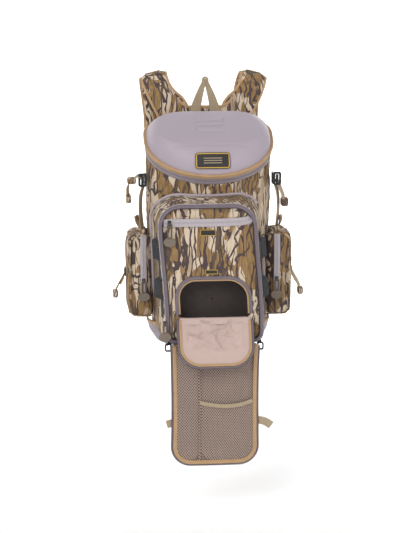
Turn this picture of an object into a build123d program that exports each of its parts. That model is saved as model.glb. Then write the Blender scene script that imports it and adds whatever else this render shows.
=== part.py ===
from build123d import *
from math import atan2, cos, degrees, radians, sin
import os

# Hunting day pack, hanging by its haul loop with the front cover and the binocular flap folded down.
#
# Places are thought of in pack terms: x to the wearer's left or right, depth from the bag's front
# towards the wearer's back, and height above the base. point() turns them into the part's own frame,
# whose origin is the inner apex of the haul loop, with +Z up and -Y towards the viewer of the front.

os.makedirs("parts", exist_ok=True)

# ---- Driving dimensions, millimetres ----
HANG_DEPTH = 166.5          # where the haul loop hangs, behind the bag's front
HANG_HEIGHT = 545           # inner apex of the haul loop above the base

BAG_HALF_WIDTH = 132
BAG_DEPTH = 150
BAG_WAIST = 96              # depth at which the bag is widest
BAG_WALL = 4
REAR_CORNER = 42
BASE_THICKNESS = 3

LID_SLOPE = radians(32)
LID_FRONT_HEIGHT = 360      # height of the bag's mouth at its front
LID_BAND = 8                # each half of the lid's zipper band
LID_BINDING = 9
LID_DOME = 40
LID_WALL = 4
LID_PLATEAU_HALF_WIDTH = 111
LID_PLATEAU_FRONT = 51      # along the slope
LID_PLATEAU_BACK = 158

GUSSET_DEPTH = 60           # how far the front compartment stands off the bag
GUSSET_HALF_WIDTH = 99      # at its front edge
GUSSET_BOTTOM = 40
GUSSET_TOP = 326
GUSSET_CORNER = 45
GUSSET_FOOT_CORNER = 18
GUSSET_FLARE = 0.155       # growth all round per unit of depth
GUSSET_WALL = 4

FACE_FRONT = -55            # depth of the organizer's front face
FACE_THICKNESS = 4
MOUTH_HALF_WIDTH = 75       # binocular pocket
MOUTH_BOTTOM = 92
MOUTH_TOP = 173
MOUTH_CORNER = 42
LINER_DEPTH = 43

FLAP_PIVOT = (-60, 92)      # depth, height
FLAP_LEAN = radians(25)
FLAP_GAP = 4
FLAP_LENGTH = 103
FLAP_HALF_WIDTH = 75
FLAP_EDGE = 5
FLAP_SHEET = 2.4

COVER_PIVOT = (-70, 42)     # depth, height
COVER_HALF_WIDTH = 89
COVER_TOP = 38
COVER_BOTTOM = -221
COVER_CORNER = 38
COVER_EDGE = 5
COVER_SHEET = 4
MESH_HALF_WIDTH = 82
MESH_SHEET = 1.2

WEBBING = 1.6
TAPE = 2


# ---- Planes in pack terms ----
def point(x, depth, height):
    """Pack terms to the part's own frame."""
    return Vector(x, depth - HANG_DEPTH, height - HANG_HEIGHT)


def level(height):
    """Horizontal plane; its sketch axes are x and depth."""
    return Plane(origin=point(0, 0, height), x_dir=(1, 0, 0), z_dir=(0, 0, 1))


def front(depth):
    """Upright plane that faces the front; its sketch axes are x and height."""
    return Plane(origin=point(0, depth, 0), x_dir=(1, 0, 0), z_dir=(0, -1, 0))


def side(x):
    """Upright plane that faces +X; its sketch axes are depth and height."""
    return Plane(origin=point(x, 0, 0), x_dir=(0, 1, 0), z_dir=(1, 0, 0))


def lid_plane(lift):
    """Plane of the bag's sloping mouth, lifted along its normal; its y axis runs up the slope."""
    origin = point(0, -lift * sin(LID_SLOPE), LID_FRONT_HEIGHT + lift * cos(LID_SLOPE))
    return Plane(origin=origin, x_dir=(1, 0, 0), z_dir=(0, -sin(LID_SLOPE), cos(LID_SLOPE)))


def flap_plane():
    """Plane of the open flap; its y axis runs from the fold to the tip."""
    normal = (0, cos(FLAP_LEAN), -sin(FLAP_LEAN))
    return Plane(origin=point(0, *FLAP_PIVOT), x_dir=(1, 0, 0), z_dir=normal)


def save(piece, name):
    """Labels a finished piece and writes its file."""
    piece.part.label = name
    export_step(piece.part, f"parts/{name}.step")


def save_pair(piece, name):
    """Writes a right-hand piece and its mirror image as two nodes."""
    save(piece, f"{name}_right")
    with BuildPart() as twin:
        mirror(piece.part, about=Plane.YZ)
    save(twin, f"{name}_left")


def save_both(piece, name):
    """Writes a right-hand piece and its mirror image as one node of separate solids."""
    with BuildPart() as both:
        add(piece.part)
        mirror(piece.part, about=Plane.YZ)
    save(both, name)


# ---- Shared outlines ----
def bag_outline(plane, half_width, front_edge, waist, back_edge, corner):
    """The bag from above: elliptical front, straight flanks, two round rear corners."""
    with BuildSketch(plane) as outline:
        with BuildLine():
            EllipticalCenterArc((0, waist), half_width, waist - front_edge, 180, arc_size=180)
            Polyline((half_width, waist), (half_width, back_edge), (-half_width, back_edge), (-half_width, waist))
        make_face()
        fillet(outline.vertices().group_by(Axis.Y)[-1], radius=corner)
    return outline.sketch


BAG_LEVELS = [              # height, half width, front and back depth
    (BASE_THICKNESS, 92, 24, 134),
    (12, 106, 12, 143),
    (34, 116, 4, 149),
    (80, 123, 0, BAG_DEPTH),
    (150, 129, 0, BAG_DEPTH),
    (250, BAG_HALF_WIDTH, 0, BAG_DEPTH),
    (520, BAG_HALF_WIDTH, 0, BAG_DEPTH),
]


def bag_block(grow=0, levels=BAG_LEVELS):
    """The bag's form as one upright block, grown all round."""
    sections = []
    for height, half_width, front_edge, back_edge in levels:
        sections.append(
            bag_outline(
                level(height),
                half_width + grow,
                front_edge - grow,
                BAG_WAIST,
                back_edge + grow,
                min(REAR_CORNER + grow, back_edge + grow - BAG_WAIST - 2),
            )
        )
    with BuildPart() as block:
        loft(sections, ruled=True)
    return block.part


def lid_outline(lift, grow=0):
    """The bag's mouth on its sloping plane."""
    stretch = 1 / cos(LID_SLOPE)
    return bag_outline(
        lid_plane(lift),
        BAG_HALF_WIDTH + grow,
        -grow,
        BAG_WAIST * stretch,
        BAG_DEPTH * stretch + grow,
        REAR_CORNER + grow,
    )


def panel(plane, half_width, bottom, top, top_corner, bottom_corner):
    """An upright panel with round corners."""
    with BuildSketch(plane) as outline:
        with Locations((0, (bottom + top) / 2)):
            Rectangle(2 * half_width, top - bottom)
        fillet(outline.vertices().group_by(Axis.Y)[-1], radius=top_corner)
        fillet(outline.vertices().group_by(Axis.Y)[0], radius=bottom_corner)
    return outline.sketch


def gusset_outline(depth, grow=0):
    """Section of the front compartment at a depth, grown all round."""
    flare = (depth + GUSSET_DEPTH) * GUSSET_FLARE + grow
    return panel(
        front(depth),
        GUSSET_HALF_WIDTH + flare,
        GUSSET_BOTTOM - flare,
        GUSSET_TOP + flare,
        GUSSET_CORNER + flare,
        GUSSET_FOOT_CORNER + flare,
    )


def gusset_block(grow=0, front_depth=-GUSSET_DEPTH, back_depth=60):
    """The front compartment as one block that runs into the bag."""
    with BuildPart() as block:
        loft([gusset_outline(front_depth, grow), gusset_outline(back_depth, grow)], ruled=True)
    return block.part


def band(plane, points, width, thickness=WEBBING, radius=None):
    """A flat band whose edge follows the points in the plane, as wide as width about the plane."""
    with BuildPart() as strip:
        with BuildSketch(plane):
            with BuildLine() as path:
                if radius and len(points) > 2:
                    FilletPolyline(*points, radius=radius)
                else:
                    Polyline(*points)
            trace(path.edges(), line_width=thickness)
        extrude(amount=width / 2, both=True)
    return strip.part


# ---- Bag, base and frame ----
def make_bag():
    with BuildPart() as main_bag:
        add(bag_block())
        cavity_levels = [(BAG_LEVELS[0][0] + BAG_WALL, *BAG_LEVELS[0][1:]), *BAG_LEVELS[1:-1], (530, *BAG_LEVELS[-1][1:])]
        add(bag_block(-BAG_WALL, cavity_levels), mode=Mode.SUBTRACT)
        split(bisect_by=lid_plane(0), keep=Keep.BOTTOM)
    save(main_bag, "main_bag")

    with BuildPart() as base_panel:
        extrude(bag_outline(level(0), 90, 26, BAG_WAIST, 132, 34), amount=BASE_THICKNESS)
    save(base_panel, "base_panel")

    sheet_back = BAG_DEPTH - BAG_WALL - 1.8
    with BuildPart() as frame_sheet:
        extrude(panel(front(sheet_back), 78, 72, 425, 30, 30), amount=2)
    save(frame_sheet, "frame_sheet")

    with BuildPart() as stay:
        extrude(panel(front(sheet_back - 2), 6, 82, 410, 2, 2), amount=3)
    with BuildPart() as frame_stays:
        with Locations((-50, 0), (50, 0)):
            add(stay.part)
    save(frame_stays, "frame_stays")


def make_back():
    panel_back = BAG_DEPTH + 18
    with BuildPart() as back_panel:
        extrude(panel(front(panel_back), 100, 36, 450, 40, 40), amount=18)
        fillet(back_panel.faces().sort_by(Axis.Y)[-1].edges(), radius=6)
    save(back_panel, "back_panel")

    with BuildPart() as pad:
        with BuildSketch(front(panel_back + 9)):
            with Locations((52, 285)):
                RectangleRounded(66, 210, 22)
        extrude(amount=9)
        fillet(pad.faces().sort_by(Axis.Y)[-1].edges(), radius=4)
    save_both(pad, "back_pads")

    with BuildPart() as lumbar_pad:
        with BuildSketch(front(panel_back + 14)):
            with Locations((0, 108)):
                RectangleRounded(168, 92, 28)
        extrude(amount=14)
        fillet(lumbar_pad.faces().sort_by(Axis.Y)[-1].edges(), radius=6)
    save(lumbar_pad, "lumbar_pad")


# ---- Front compartment ----
def make_front_compartment(bag):
    inner = gusset_block(-GUSSET_WALL, -GUSSET_DEPTH - 2, 60)
    with BuildPart() as front_gusset:
        add(gusset_block())
        add(inner, mode=Mode.SUBTRACT)
        add(bag, mode=Mode.SUBTRACT)
    save(front_gusset, "front_gusset")

    with BuildPart() as gusset_piping:
        add(gusset_block(5, -30, 60))
        add(gusset_block(0, -GUSSET_DEPTH, 62), mode=Mode.SUBTRACT)
        add(bag_block(5), mode=Mode.INTERSECT)
        add(bag, mode=Mode.SUBTRACT)
    save(gusset_piping, "gusset_piping")

    with BuildPart() as cover_track:
        extrude(gusset_outline(-GUSSET_DEPTH, 2), amount=3)
        extrude(gusset_outline(-GUSSET_DEPTH, -5), amount=3, mode=Mode.SUBTRACT)
    save(cover_track, "cover_track")

    with BuildPart() as organizer_face:
        with Locations(point(0, FACE_FRONT + FACE_THICKNESS / 2, (GUSSET_BOTTOM + GUSSET_TOP) / 2)):
            Box(260, FACE_THICKNESS, 340)
        add(inner, mode=Mode.INTERSECT)
        mouth = panel(front(FACE_FRONT + FACE_THICKNESS), MOUTH_HALF_WIDTH, MOUTH_BOTTOM, MOUTH_TOP, MOUTH_CORNER, 8)
        extrude(mouth, amount=FACE_THICKNESS, mode=Mode.SUBTRACT)
    save(organizer_face, "organizer_face")

    liner_front = FACE_FRONT + FACE_THICKNESS
    with BuildPart() as bino_liner:
        extrude(panel(front(liner_front + LINER_DEPTH), MOUTH_HALF_WIDTH + 6, 60, 186, 40, 20), amount=LINER_DEPTH)
        extrude(
            panel(front(liner_front + LINER_DEPTH - 2), MOUTH_HALF_WIDTH + 4, 62, 184, 38, 18),
            amount=LINER_DEPTH,
            mode=Mode.SUBTRACT,
        )
    save(bino_liner, "bino_liner")

    with BuildPart() as bino_zipper:
        extrude(panel(front(FACE_FRONT), MOUTH_HALF_WIDTH + 4, 96, MOUTH_TOP + 4, MOUTH_CORNER + 4, 1), amount=2.2)
        extrude(
            panel(front(FACE_FRONT), MOUTH_HALF_WIDTH - 1, 90, MOUTH_TOP - 1, MOUTH_CORNER - 1, 1),
            amount=2.2,
            mode=Mode.SUBTRACT,
        )
    save(bino_zipper, "bino_zipper")

    with BuildPart() as organizer_zipper:
        with BuildSketch(front(FACE_FRONT)):
            with Locations((0, 290)):
                RectangleRounded(176, 16, 3)
        extrude(amount=TAPE)
    save(organizer_zipper, "organizer_zipper")

    with BuildPart() as pocket_labels:
        with BuildSketch(front(FACE_FRONT)):
            with Locations((0, 269)):
                RectangleRounded(34, 14, 1.5)
            with Locations((0, 187)):
                RectangleRounded(28, 10, 1.5)
        extrude(amount=1.2)
    save(pocket_labels, "pocket_labels")


# ---- Side pockets, boots and lash ladders ----
POCKET_FRONT = 42
POCKET_BACK = 136
POCKET_BOTTOM = 68
POCKET_TOP = 250
POCKET_INNER = 100
POCKET_OUTER = 172

BOOT_LEVELS = [
    (BASE_THICKNESS + 1, 96, 20, 134),
    (12, 113, 2, 148),
    (34, 127, -9, 158),
    (52, 131, -12, 162),
    (60, 132, -12, 162),
]


def boot_region(margin, bottom, top):
    """The stretch of the base that the right boot covers."""
    with BuildPart() as region:
        with BuildSketch(level(bottom)):
            with Locations((110 + margin / 2, 52)):
                Rectangle(56 - margin, 116 - 2 * margin)
        extrude(amount=top - bottom)
    return region.part


def make_sides(bag):
    compartment = gusset_block(6, -GUSSET_DEPTH, 62)
    with BuildPart() as side_pocket:
        centre = point((POCKET_INNER + POCKET_OUTER) / 2, (POCKET_FRONT + POCKET_BACK) / 2, (POCKET_BOTTOM + POCKET_TOP) / 2)
        with Locations(centre):
            Box(POCKET_OUTER - POCKET_INNER, POCKET_BACK - POCKET_FRONT, POCKET_TOP - POCKET_BOTTOM)
        fillet(side_pocket.faces().sort_by(Axis.X)[-1].edges(), radius=16)
        add(bag, mode=Mode.SUBTRACT)
        add(compartment, mode=Mode.SUBTRACT)
    save_pair(side_pocket, "side_pocket")

    with BuildPart() as side_zipper:
        with BuildSketch(front(POCKET_FRONT)):
            with Locations((141, 176)):
                RectangleRounded(14, 140, 3)
        extrude(amount=1.6)
        add(bag, mode=Mode.SUBTRACT)
    save_both(side_zipper, "side_zippers")

    cavity_levels = [(BASE_THICKNESS + 4, *BOOT_LEVELS[0][1:]), *BOOT_LEVELS[1:]]
    with BuildPart() as boot_pocket:
        add(bag_block(0, BOOT_LEVELS))
        add(boot_region(0, 0, 52), mode=Mode.INTERSECT)
        add(bag, mode=Mode.SUBTRACT)
        add(compartment, mode=Mode.SUBTRACT)
        with BuildPart(mode=Mode.PRIVATE) as cavity:
            add(bag_block(-2.5, cavity_levels))
            add(boot_region(3, 0, 60), mode=Mode.INTERSECT)
            add(gusset_block(9, -GUSSET_DEPTH, 62), mode=Mode.SUBTRACT)
        add(cavity.part, mode=Mode.SUBTRACT)
    save_pair(boot_pocket, "boot_pocket")

    with BuildPart() as boot_binding:
        add(bag_block(1, BOOT_LEVELS))
        add(boot_region(0, 52, 58), mode=Mode.INTERSECT)
        add(bag_block(-3.5, BOOT_LEVELS), mode=Mode.SUBTRACT)
        add(bag, mode=Mode.SUBTRACT)
        add(compartment, mode=Mode.SUBTRACT)
    save_both(boot_binding, "boot_bindings")

    flare_angle = degrees(atan2(GUSSET_FLARE, 1))
    ladder_depth = -26
    surface_x = GUSSET_HALF_WIDTH + (ladder_depth + GUSSET_DEPTH) * GUSSET_FLARE
    ladder_plane = Plane(
        origin=point(surface_x + 0.3, ladder_depth, 0),
        x_dir=(sin(radians(flare_angle)), cos(radians(flare_angle)), 0),
        z_dir=(cos(radians(flare_angle)), -sin(radians(flare_angle)), 0),
    )
    with BuildPart() as lash_ladder:
        with BuildSketch(ladder_plane):
            with Locations((0, 175)):
                Rectangle(20, 180)
        extrude(amount=WEBBING)
        with BuildSketch(ladder_plane.offset(WEBBING)):
            with Locations((0, 230), (0, 147)):
                Rectangle(20, 44)
        extrude(amount=4)
    save_both(lash_ladder, "lash_ladders")


# ---- Webbing and buckles ----
def ladder_lock(x, depth, height, width, tall):
    """A ladder-lock frame with two webbing slots, flat against a plane at x."""
    with BuildPart() as frame:
        with BuildSketch(side(x)):
            with Locations((depth, height)):
                RectangleRounded(width, tall, 3)
                with Locations((0, tall / 4), (0, -tall / 4)):
                    Rectangle(width - 8, 4, mode=Mode.SUBTRACT)
        extrude(amount=5)
    return frame.part


def make_webbing():
    strap_lock = Plane(origin=point(97, 234, 258), x_dir=(1, 0, 0), z_dir=(0, 1, 0.15))
    with BuildPart() as ladder_locks:
        add(ladder_lock(BAG_HALF_WIDTH + 0.3, 62, 362, 28, 24))
        with BuildSketch(strap_lock):
            RectangleRounded(34, 26, 3)
            with Locations((0, 6), (0, -6)):
                Rectangle(26, 4, mode=Mode.SUBTRACT)
        extrude(amount=5)
    save_both(ladder_locks, "ladder_locks")

    with BuildPart() as upper_webbing:
        add(band(front(62), [(139, 349), (142, 318), (142, 288), (141, 256)], 20, radius=40))
        with Locations(point(141, 62, 253)):
            Box(12, 24, 5)
    save_both(upper_webbing, "upper_webbing")

    with BuildPart() as upper_tails:
        add(band(front(62), [(140, 368), (148, 372), (157, 366)], 20, radius=8))
        with Locations(point(165, 62, 362)):
            Box(14, 26, 16)
        add(band(front(62), [(171, 353), (173, 336)], 20))
        with Locations(point(172, 62, 323)):
            Box(6, 24, 24)
    with BuildPart() as tails:
        mirror(upper_tails.part, about=Plane.YZ)
        add(band(front(62), [(140.5, 358), (148, 344), (156, 322)], 20, radius=20))
        with Locations(point(158, 62, 310)):
            Box(14, 26, 20)
    save(tails, "upper_tails")

    with BuildPart() as lower_straps:
        with Locations(point(POCKET_OUTER + 3.2, 92, 160)):
            Box(6, 26, 18)
        add(band(front(92), [(179, 157), (187, 141), (197, 123)], 16, radius=20))
        with Locations(point(200, 92, 112)):
            Box(12, 22, 16)
    save_both(lower_straps, "lower_straps")

    with BuildPart() as corner_ring:
        with BuildSketch(front(-48)):
            with Locations((96, 27)):
                RectangleRounded(14, 17, 4)
                RectangleRounded(8, 11, 2, mode=Mode.SUBTRACT)
        extrude(amount=4)
    save_both(corner_ring, "corner_rings")


# ---- Harness ----
STRAP_PATH = [              # x, depth, height, width, thickness, tilt of the width in degrees
    (79, 172, 505.5, 62, 8, 0),
    (88, 173.5, 519, 57, 10, 8),
    (97, 177, 537, 55, 12, 12),
    (105, 188, 556, 57, 12, 15),
    (108, 204, 567, 59, 12, 15),
    (109, 222, 560, 59, 12, 12),
    (106, 237, 537, 58, 13, 8),
    (101, 244, 500, 57, 14, 4),
    (97, 247, 456, 56, 14, 0),
    (96, 247, 400, 55, 14, 0),
    (96, 243, 340, 52, 13, 0),
    (97, 236, 280, 46, 11, 0),
]


def strap_plane(index):
    """Plane square to the shoulder strap's path, whose x axis runs across the strap."""
    x, depth, height, width, thickness, tilt = STRAP_PATH[index]
    before = STRAP_PATH[max(index - 1, 0)]
    after = STRAP_PATH[min(index + 1, len(STRAP_PATH) - 1)]
    along = Vector(after[0] - before[0], after[1] - before[1], after[2] - before[2])
    if index == 0:
        along = Vector(0, 0, 1)
    across = Vector(cos(radians(tilt)), 0, -sin(radians(tilt)))
    if index == 0:
        across = Vector(1, 0, 0)
    return Plane(origin=point(x, depth, height), x_dir=across, z_dir=along)


def strap_section(index):
    """Cross-section of the shoulder strap."""
    width, thickness = STRAP_PATH[index][3:5]
    with BuildSketch(strap_plane(index)) as section:
        RectangleRounded(width, thickness, thickness * 0.3)
    return section.sketch


def make_harness():
    with BuildPart() as shoulder_yoke:
        with BuildSketch(front(176)):
            with BuildLine():
                Polyline((47, 505), (106, 505), (92, 400), (-92, 400), (-106, 505), (-47, 505))
                ThreePointArc((-47, 505), (0, 498), (47, 505))
            make_face()
        extrude(amount=8)
    save(shoulder_yoke, "shoulder_yoke")

    with BuildPart() as shoulder_strap:
        loft([strap_section(i) for i in range(len(STRAP_PATH))], ruled=True)
    save_pair(shoulder_strap, "shoulder_strap")

    with BuildPart() as strap_webbing:
        add(band(side(97), [(240, 244), (238, 205), (205, 165), (169.6, 150)], 25, radius=25))
    save_both(strap_webbing, "strap_webbing")

    with BuildPart() as haul_handle:
        with BuildSketch(front(HANG_DEPTH + 1.25)):
            with BuildLine():
                Polyline((-36, 458), (-36, 505), (-5, 565), (5, 565), (36, 505), (36, 458), close=True)
            make_face()
            with BuildLine():
                Polyline((-11, 457), (-11, 505), (0, HANG_HEIGHT), (11, 505), (11, 457), close=True)
            make_face(mode=Mode.SUBTRACT)
        extrude(amount=2.5)
    save(haul_handle, "haul_handle")

    sternum_depth = 257
    with BuildPart() as sternum_webbing:
        with BuildSketch(front(sternum_depth)):
            with Locations((74, 456)):
                Rectangle(102, 20)
        extrude(amount=WEBBING)
    save_both(sternum_webbing, "sternum_webbing")

    with BuildPart() as sternum_buckle:
        with BuildSketch(front(sternum_depth + 2.2)):
            with Locations((0, 456)):
                RectangleRounded(45.6, 28, 5)
        extrude(amount=7)
    save(sternum_buckle, "sternum_buckle")

    with BuildPart() as hip_wing:
        with BuildSketch(level(72)):
            with BuildLine() as path:
                FilletPolyline((84.5, 176), (118, 178), (134, 205), (126, 246), (70, 268), radius=18)
            trace(path.edges(), line_width=12)
        extrude(amount=72)
    save_pair(hip_wing, "hip_wing")

    with BuildPart() as belt_webbing:
        with BuildSketch(level(89)):
            with BuildLine() as path:
                Polyline((63.5, 270.5), (48, 274), (31, 274))
            trace(path.edges(), line_width=2)
        extrude(amount=38)
    save_both(belt_webbing, "belt_webbing")

    with BuildPart() as belt_buckle:
        with BuildSketch(front(281)):
            with Locations((0, 108)):
                RectangleRounded(61.6, 50, 8)
        extrude(amount=14)
    save(belt_buckle, "belt_buckle")


# ---- Lid ----
def lid_ring(lift, tall, outer, inner):
    """One layer of the band around the bag's mouth."""
    with BuildPart() as ring:
        extrude(lid_outline(lift, outer), amount=tall)
        extrude(lid_outline(lift, inner), amount=tall, mode=Mode.SUBTRACT)
    return ring


def lid_dome(lift, tall, grow):
    """The lid's form: a sloping skirt up to a smaller plateau."""
    with BuildPart() as dome:
        plateau = bag_outline(
            lid_plane(lift + tall),
            LID_PLATEAU_HALF_WIDTH + grow,
            LID_PLATEAU_FRONT - grow,
            BAG_WAIST / cos(LID_SLOPE),
            LID_PLATEAU_BACK + grow,
            REAR_CORNER - 12,
        )
        loft([lid_outline(lift, grow - 2), plateau], ruled=True)
    return dome.part


def make_lid():
    save(lid_ring(0, LID_BAND, 2, -6), "lid_zipper_lower")
    save(lid_ring(LID_BAND, LID_BAND, 2, -6), "lid_zipper_upper")
    binding_lift = 2 * LID_BAND
    save(lid_ring(binding_lift, LID_BINDING, 4, -6), "lid_binding")

    dome_lift = binding_lift + LID_BINDING
    with BuildPart() as lid_shell:
        add(lid_dome(dome_lift, LID_DOME, 0))
        add(lid_dome(dome_lift, LID_DOME - LID_WALL, -LID_WALL), mode=Mode.SUBTRACT)
    save(lid_shell, "lid_shell")

    skirt_run = LID_PLATEAU_FRONT - 2
    skirt_angle = atan2(LID_DOME, skirt_run)
    base = lid_plane(dome_lift)
    along = base.y_dir * cos(skirt_angle) + base.z_dir * sin(skirt_angle)
    out = base.z_dir * cos(skirt_angle) - base.y_dir * sin(skirt_angle)
    middle = base.origin + base.y_dir * 2 + along * 28 + out * 0.3
    with BuildPart() as lid_badge:
        with BuildSketch(Plane(origin=middle, x_dir=(1, 0, 0), z_dir=out)):
            RectangleRounded(76, 40, 8)
        extrude(amount=1.6)
    save(lid_badge, "lid_badge")


# ---- Cover and flap ----
def make_cover():
    pivot_depth = COVER_PIVOT[0]
    sheet_back = pivot_depth + COVER_SHEET
    outline = (COVER_BOTTOM, COVER_TOP, 6, COVER_CORNER)

    with BuildPart() as cover_panel:
        extrude(panel(front(sheet_back), COVER_HALF_WIDTH, *outline), amount=COVER_SHEET)
    save(cover_panel, "cover_panel")

    with BuildPart() as cover_tape:
        tape_back = front(pivot_depth + 2)
        extrude(panel(tape_back, COVER_HALF_WIDTH + COVER_EDGE, COVER_BOTTOM - COVER_EDGE, COVER_TOP, 6, 43), amount=TAPE)
        extrude(panel(tape_back, COVER_HALF_WIDTH, COVER_BOTTOM, COVER_TOP + 1, 6, COVER_CORNER), amount=TAPE, mode=Mode.SUBTRACT)
    save(cover_tape, "cover_tape")

    with BuildPart() as cover_binding:
        extrude(panel(front(pivot_depth), COVER_HALF_WIDTH, *outline), amount=4)
        extrude(
            panel(front(pivot_depth), MESH_HALF_WIDTH + 0.3, COVER_BOTTOM + 7, COVER_TOP + 1, 4, COVER_CORNER - 7),
            amount=4,
            mode=Mode.SUBTRACT,
        )
    save(cover_binding, "cover_binding")

    mesh_bottom = COVER_BOTTOM + 7.3
    pocket_plane = front(pivot_depth - MESH_SHEET)
    with BuildPart() as cover_mesh:
        extrude(panel(front(pivot_depth), MESH_HALF_WIDTH, mesh_bottom, COVER_TOP, 3, COVER_CORNER - 7.3), amount=MESH_SHEET)
    with BuildPart() as tall_pocket:
        extrude(panel(pocket_plane, MESH_HALF_WIDTH, mesh_bottom, COVER_TOP - 12, 3, COVER_CORNER - 7.3), amount=MESH_SHEET)
        split(bisect_by=Plane.YZ.offset(-33.5), keep=Keep.BOTTOM)
    with BuildPart() as low_pocket:
        extrude(panel(pocket_plane, MESH_HALF_WIDTH, mesh_bottom, -88, 3, COVER_CORNER - 7.3), amount=MESH_SHEET)
        split(bisect_by=Plane.YZ.offset(-32.5), keep=Keep.TOP)
    mesh_layers = Compound(children=[cover_mesh.part, tall_pocket.part, low_pocket.part])
    mesh_layers.label = "cover_mesh"
    export_step(mesh_layers, "parts/cover_mesh.step")

    with BuildPart() as cover_hem:
        with BuildSketch(front(pivot_depth - 2 * MESH_SHEET)):
            with BuildLine() as edge:
                ThreePointArc((-32, -87), (24, -95), (76, -85))
            trace(edge.edges(), line_width=8)
        extrude(amount=1.2)
    save(cover_hem, "cover_hem")

    with BuildPart() as cover_tabs:
        with BuildSketch(front(pivot_depth + COVER_SHEET + 1.6)):
            with Locations((96, -132), (-80, -132)):
                Rectangle(46, 18)
        extrude(amount=1.6)
    save(cover_tabs, "cover_tabs")


def make_flap():
    plane = flap_plane()
    tip = FLAP_LENGTH

    with BuildPart() as flap_panel:
        extrude(panel(plane, FLAP_HALF_WIDTH, FLAP_GAP, tip, 42, 4), amount=FLAP_SHEET / 2, both=True)
    save(flap_panel, "flap_panel")

    with BuildPart() as flap_tape:
        extrude(panel(plane, FLAP_HALF_WIDTH + FLAP_EDGE, FLAP_GAP + 2, tip + FLAP_EDGE, 47, 1), amount=1, both=True)
        extrude(panel(plane, FLAP_HALF_WIDTH, FLAP_GAP - 2, tip, 42, 1), amount=1, both=True, mode=Mode.SUBTRACT)
    save(flap_tape, "flap_tape")

    with BuildPart() as flap_binding:
        face = plane.offset(-FLAP_SHEET / 2 - 1.2)
        extrude(panel(face, FLAP_HALF_WIDTH, FLAP_GAP, tip, 42, 1), amount=1.2)
        extrude(panel(face, FLAP_HALF_WIDTH - 6, FLAP_GAP - 2, tip - 6, 36, 1), amount=1.2, mode=Mode.SUBTRACT)
    save(flap_binding, "flap_binding")


# ---- Zipper sliders and pulls ----
PULL_GAP = 0.3
PULL_THICKNESS = 2.2


def make_zipper_pull(name, x, tape_front, height, thick, reach):
    """A slider whose back lies on its tape, and the cord loop with an oval tab that hangs from it."""
    with BuildPart() as slider:
        with BuildSketch(front(tape_front)):
            with Locations((x, height)):
                RectangleRounded(8, 12, 1.5)
        extrude(amount=thick)
        fillet(slider.faces().sort_by(Axis.Y)[0].edges(), radius=0.8)
    save(slider, f"{name}_slider")

    with BuildPart() as pull:
        with BuildSketch(front(tape_front - thick - PULL_GAP)):
            with Locations((x, height + 1 - reach / 2)):
                SlotOverall(reach, 10, rotation=90)
                SlotOverall(reach - 5, 5, rotation=90, mode=Mode.SUBTRACT)
            with Locations((x, height - reach - 6)):
                Ellipse(13, 10)
        extrude(amount=PULL_THICKNESS)
    save(pull, f"{name}_pull")


def make_zipper_pulls():
    make_zipper_pull("organizer", -84, FACE_FRONT - TAPE, 290, 6, 32)
    make_zipper_pull("side_left", -141, POCKET_FRONT - 1.6, 150, 4, 28)
    make_zipper_pull("side_right", 141, POCKET_FRONT - 1.6, 150, 4, 28)
    make_zipper_pull("cover", -105.5, -54, 82, 9, 22)


solid_bag = bag_block()
make_bag()
make_back()
make_front_compartment(solid_bag)
make_sides(solid_bag)
make_webbing()
make_harness()
make_lid()
make_cover()
make_flap()
make_zipper_pulls()
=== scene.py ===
"""Looks of the hunting day pack: fabric, webbing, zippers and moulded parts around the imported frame.

Shapes are worked out in pack terms, in millimetres: x to the side, depth from the bag's front towards
the wearer's back, height above the base. metres() turns them into the row frame.
"""

import math

import bmesh
import bpy
import numpy as np
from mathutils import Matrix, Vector, noise


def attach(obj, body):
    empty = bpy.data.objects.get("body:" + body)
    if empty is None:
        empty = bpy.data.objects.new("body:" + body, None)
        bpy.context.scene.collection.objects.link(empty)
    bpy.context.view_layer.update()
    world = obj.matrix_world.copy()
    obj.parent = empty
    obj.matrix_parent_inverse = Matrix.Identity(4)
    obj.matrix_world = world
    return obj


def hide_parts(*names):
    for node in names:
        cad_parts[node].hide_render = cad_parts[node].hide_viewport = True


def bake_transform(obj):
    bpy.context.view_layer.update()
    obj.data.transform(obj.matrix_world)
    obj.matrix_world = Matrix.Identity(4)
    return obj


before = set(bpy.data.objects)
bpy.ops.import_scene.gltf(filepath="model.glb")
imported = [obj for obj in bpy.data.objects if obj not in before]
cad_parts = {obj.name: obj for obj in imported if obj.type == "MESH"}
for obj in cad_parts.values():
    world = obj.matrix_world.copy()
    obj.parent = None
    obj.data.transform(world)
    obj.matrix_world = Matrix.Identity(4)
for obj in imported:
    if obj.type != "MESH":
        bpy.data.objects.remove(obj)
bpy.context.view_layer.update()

HANG = np.array([0.0, 166.5, 545.0])        # where the haul handle hangs, in pack terms
SLOPE = math.radians(32)                    # the lid's plane, and the bag's mouth
LEAN = -16                                  # how far the front compartment's top hangs to one side
SIDES = (("left", -1), ("right", 1))
FORWARD = np.array([0.0, -1.0, 0.0])
UP = np.array([0.0, 0.0, 1.0])


# ---- Shared geometry ----
def metres(points):
    """Pack millimetres to the row frame in metres."""
    return (np.asarray(points, float) - HANG) / 1000


def unit(vectors):
    """Vectors of length one."""
    vectors = np.asarray(vectors, float)
    return vectors / np.maximum(np.linalg.norm(vectors, axis=-1, keepdims=True), 1e-9)


def smoothstep(value):
    """Eases from 0 to 1."""
    value = np.clip(value, 0, 1)
    return value * value * (3 - 2 * value)


def resample(points, count, closed=False):
    """Points evenly spaced along a polyline."""
    points = np.asarray(points, float)
    if closed:
        points = np.vstack([points, points[:1]])
    steps = np.linalg.norm(np.diff(points, axis=0), axis=1)
    run = np.concatenate([[0], np.cumsum(steps)])
    at = np.linspace(0, run[-1], count, endpoint=not closed)
    return np.stack([np.interp(at, run, points[:, k]) for k in range(points.shape[1])], axis=1)


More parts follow.
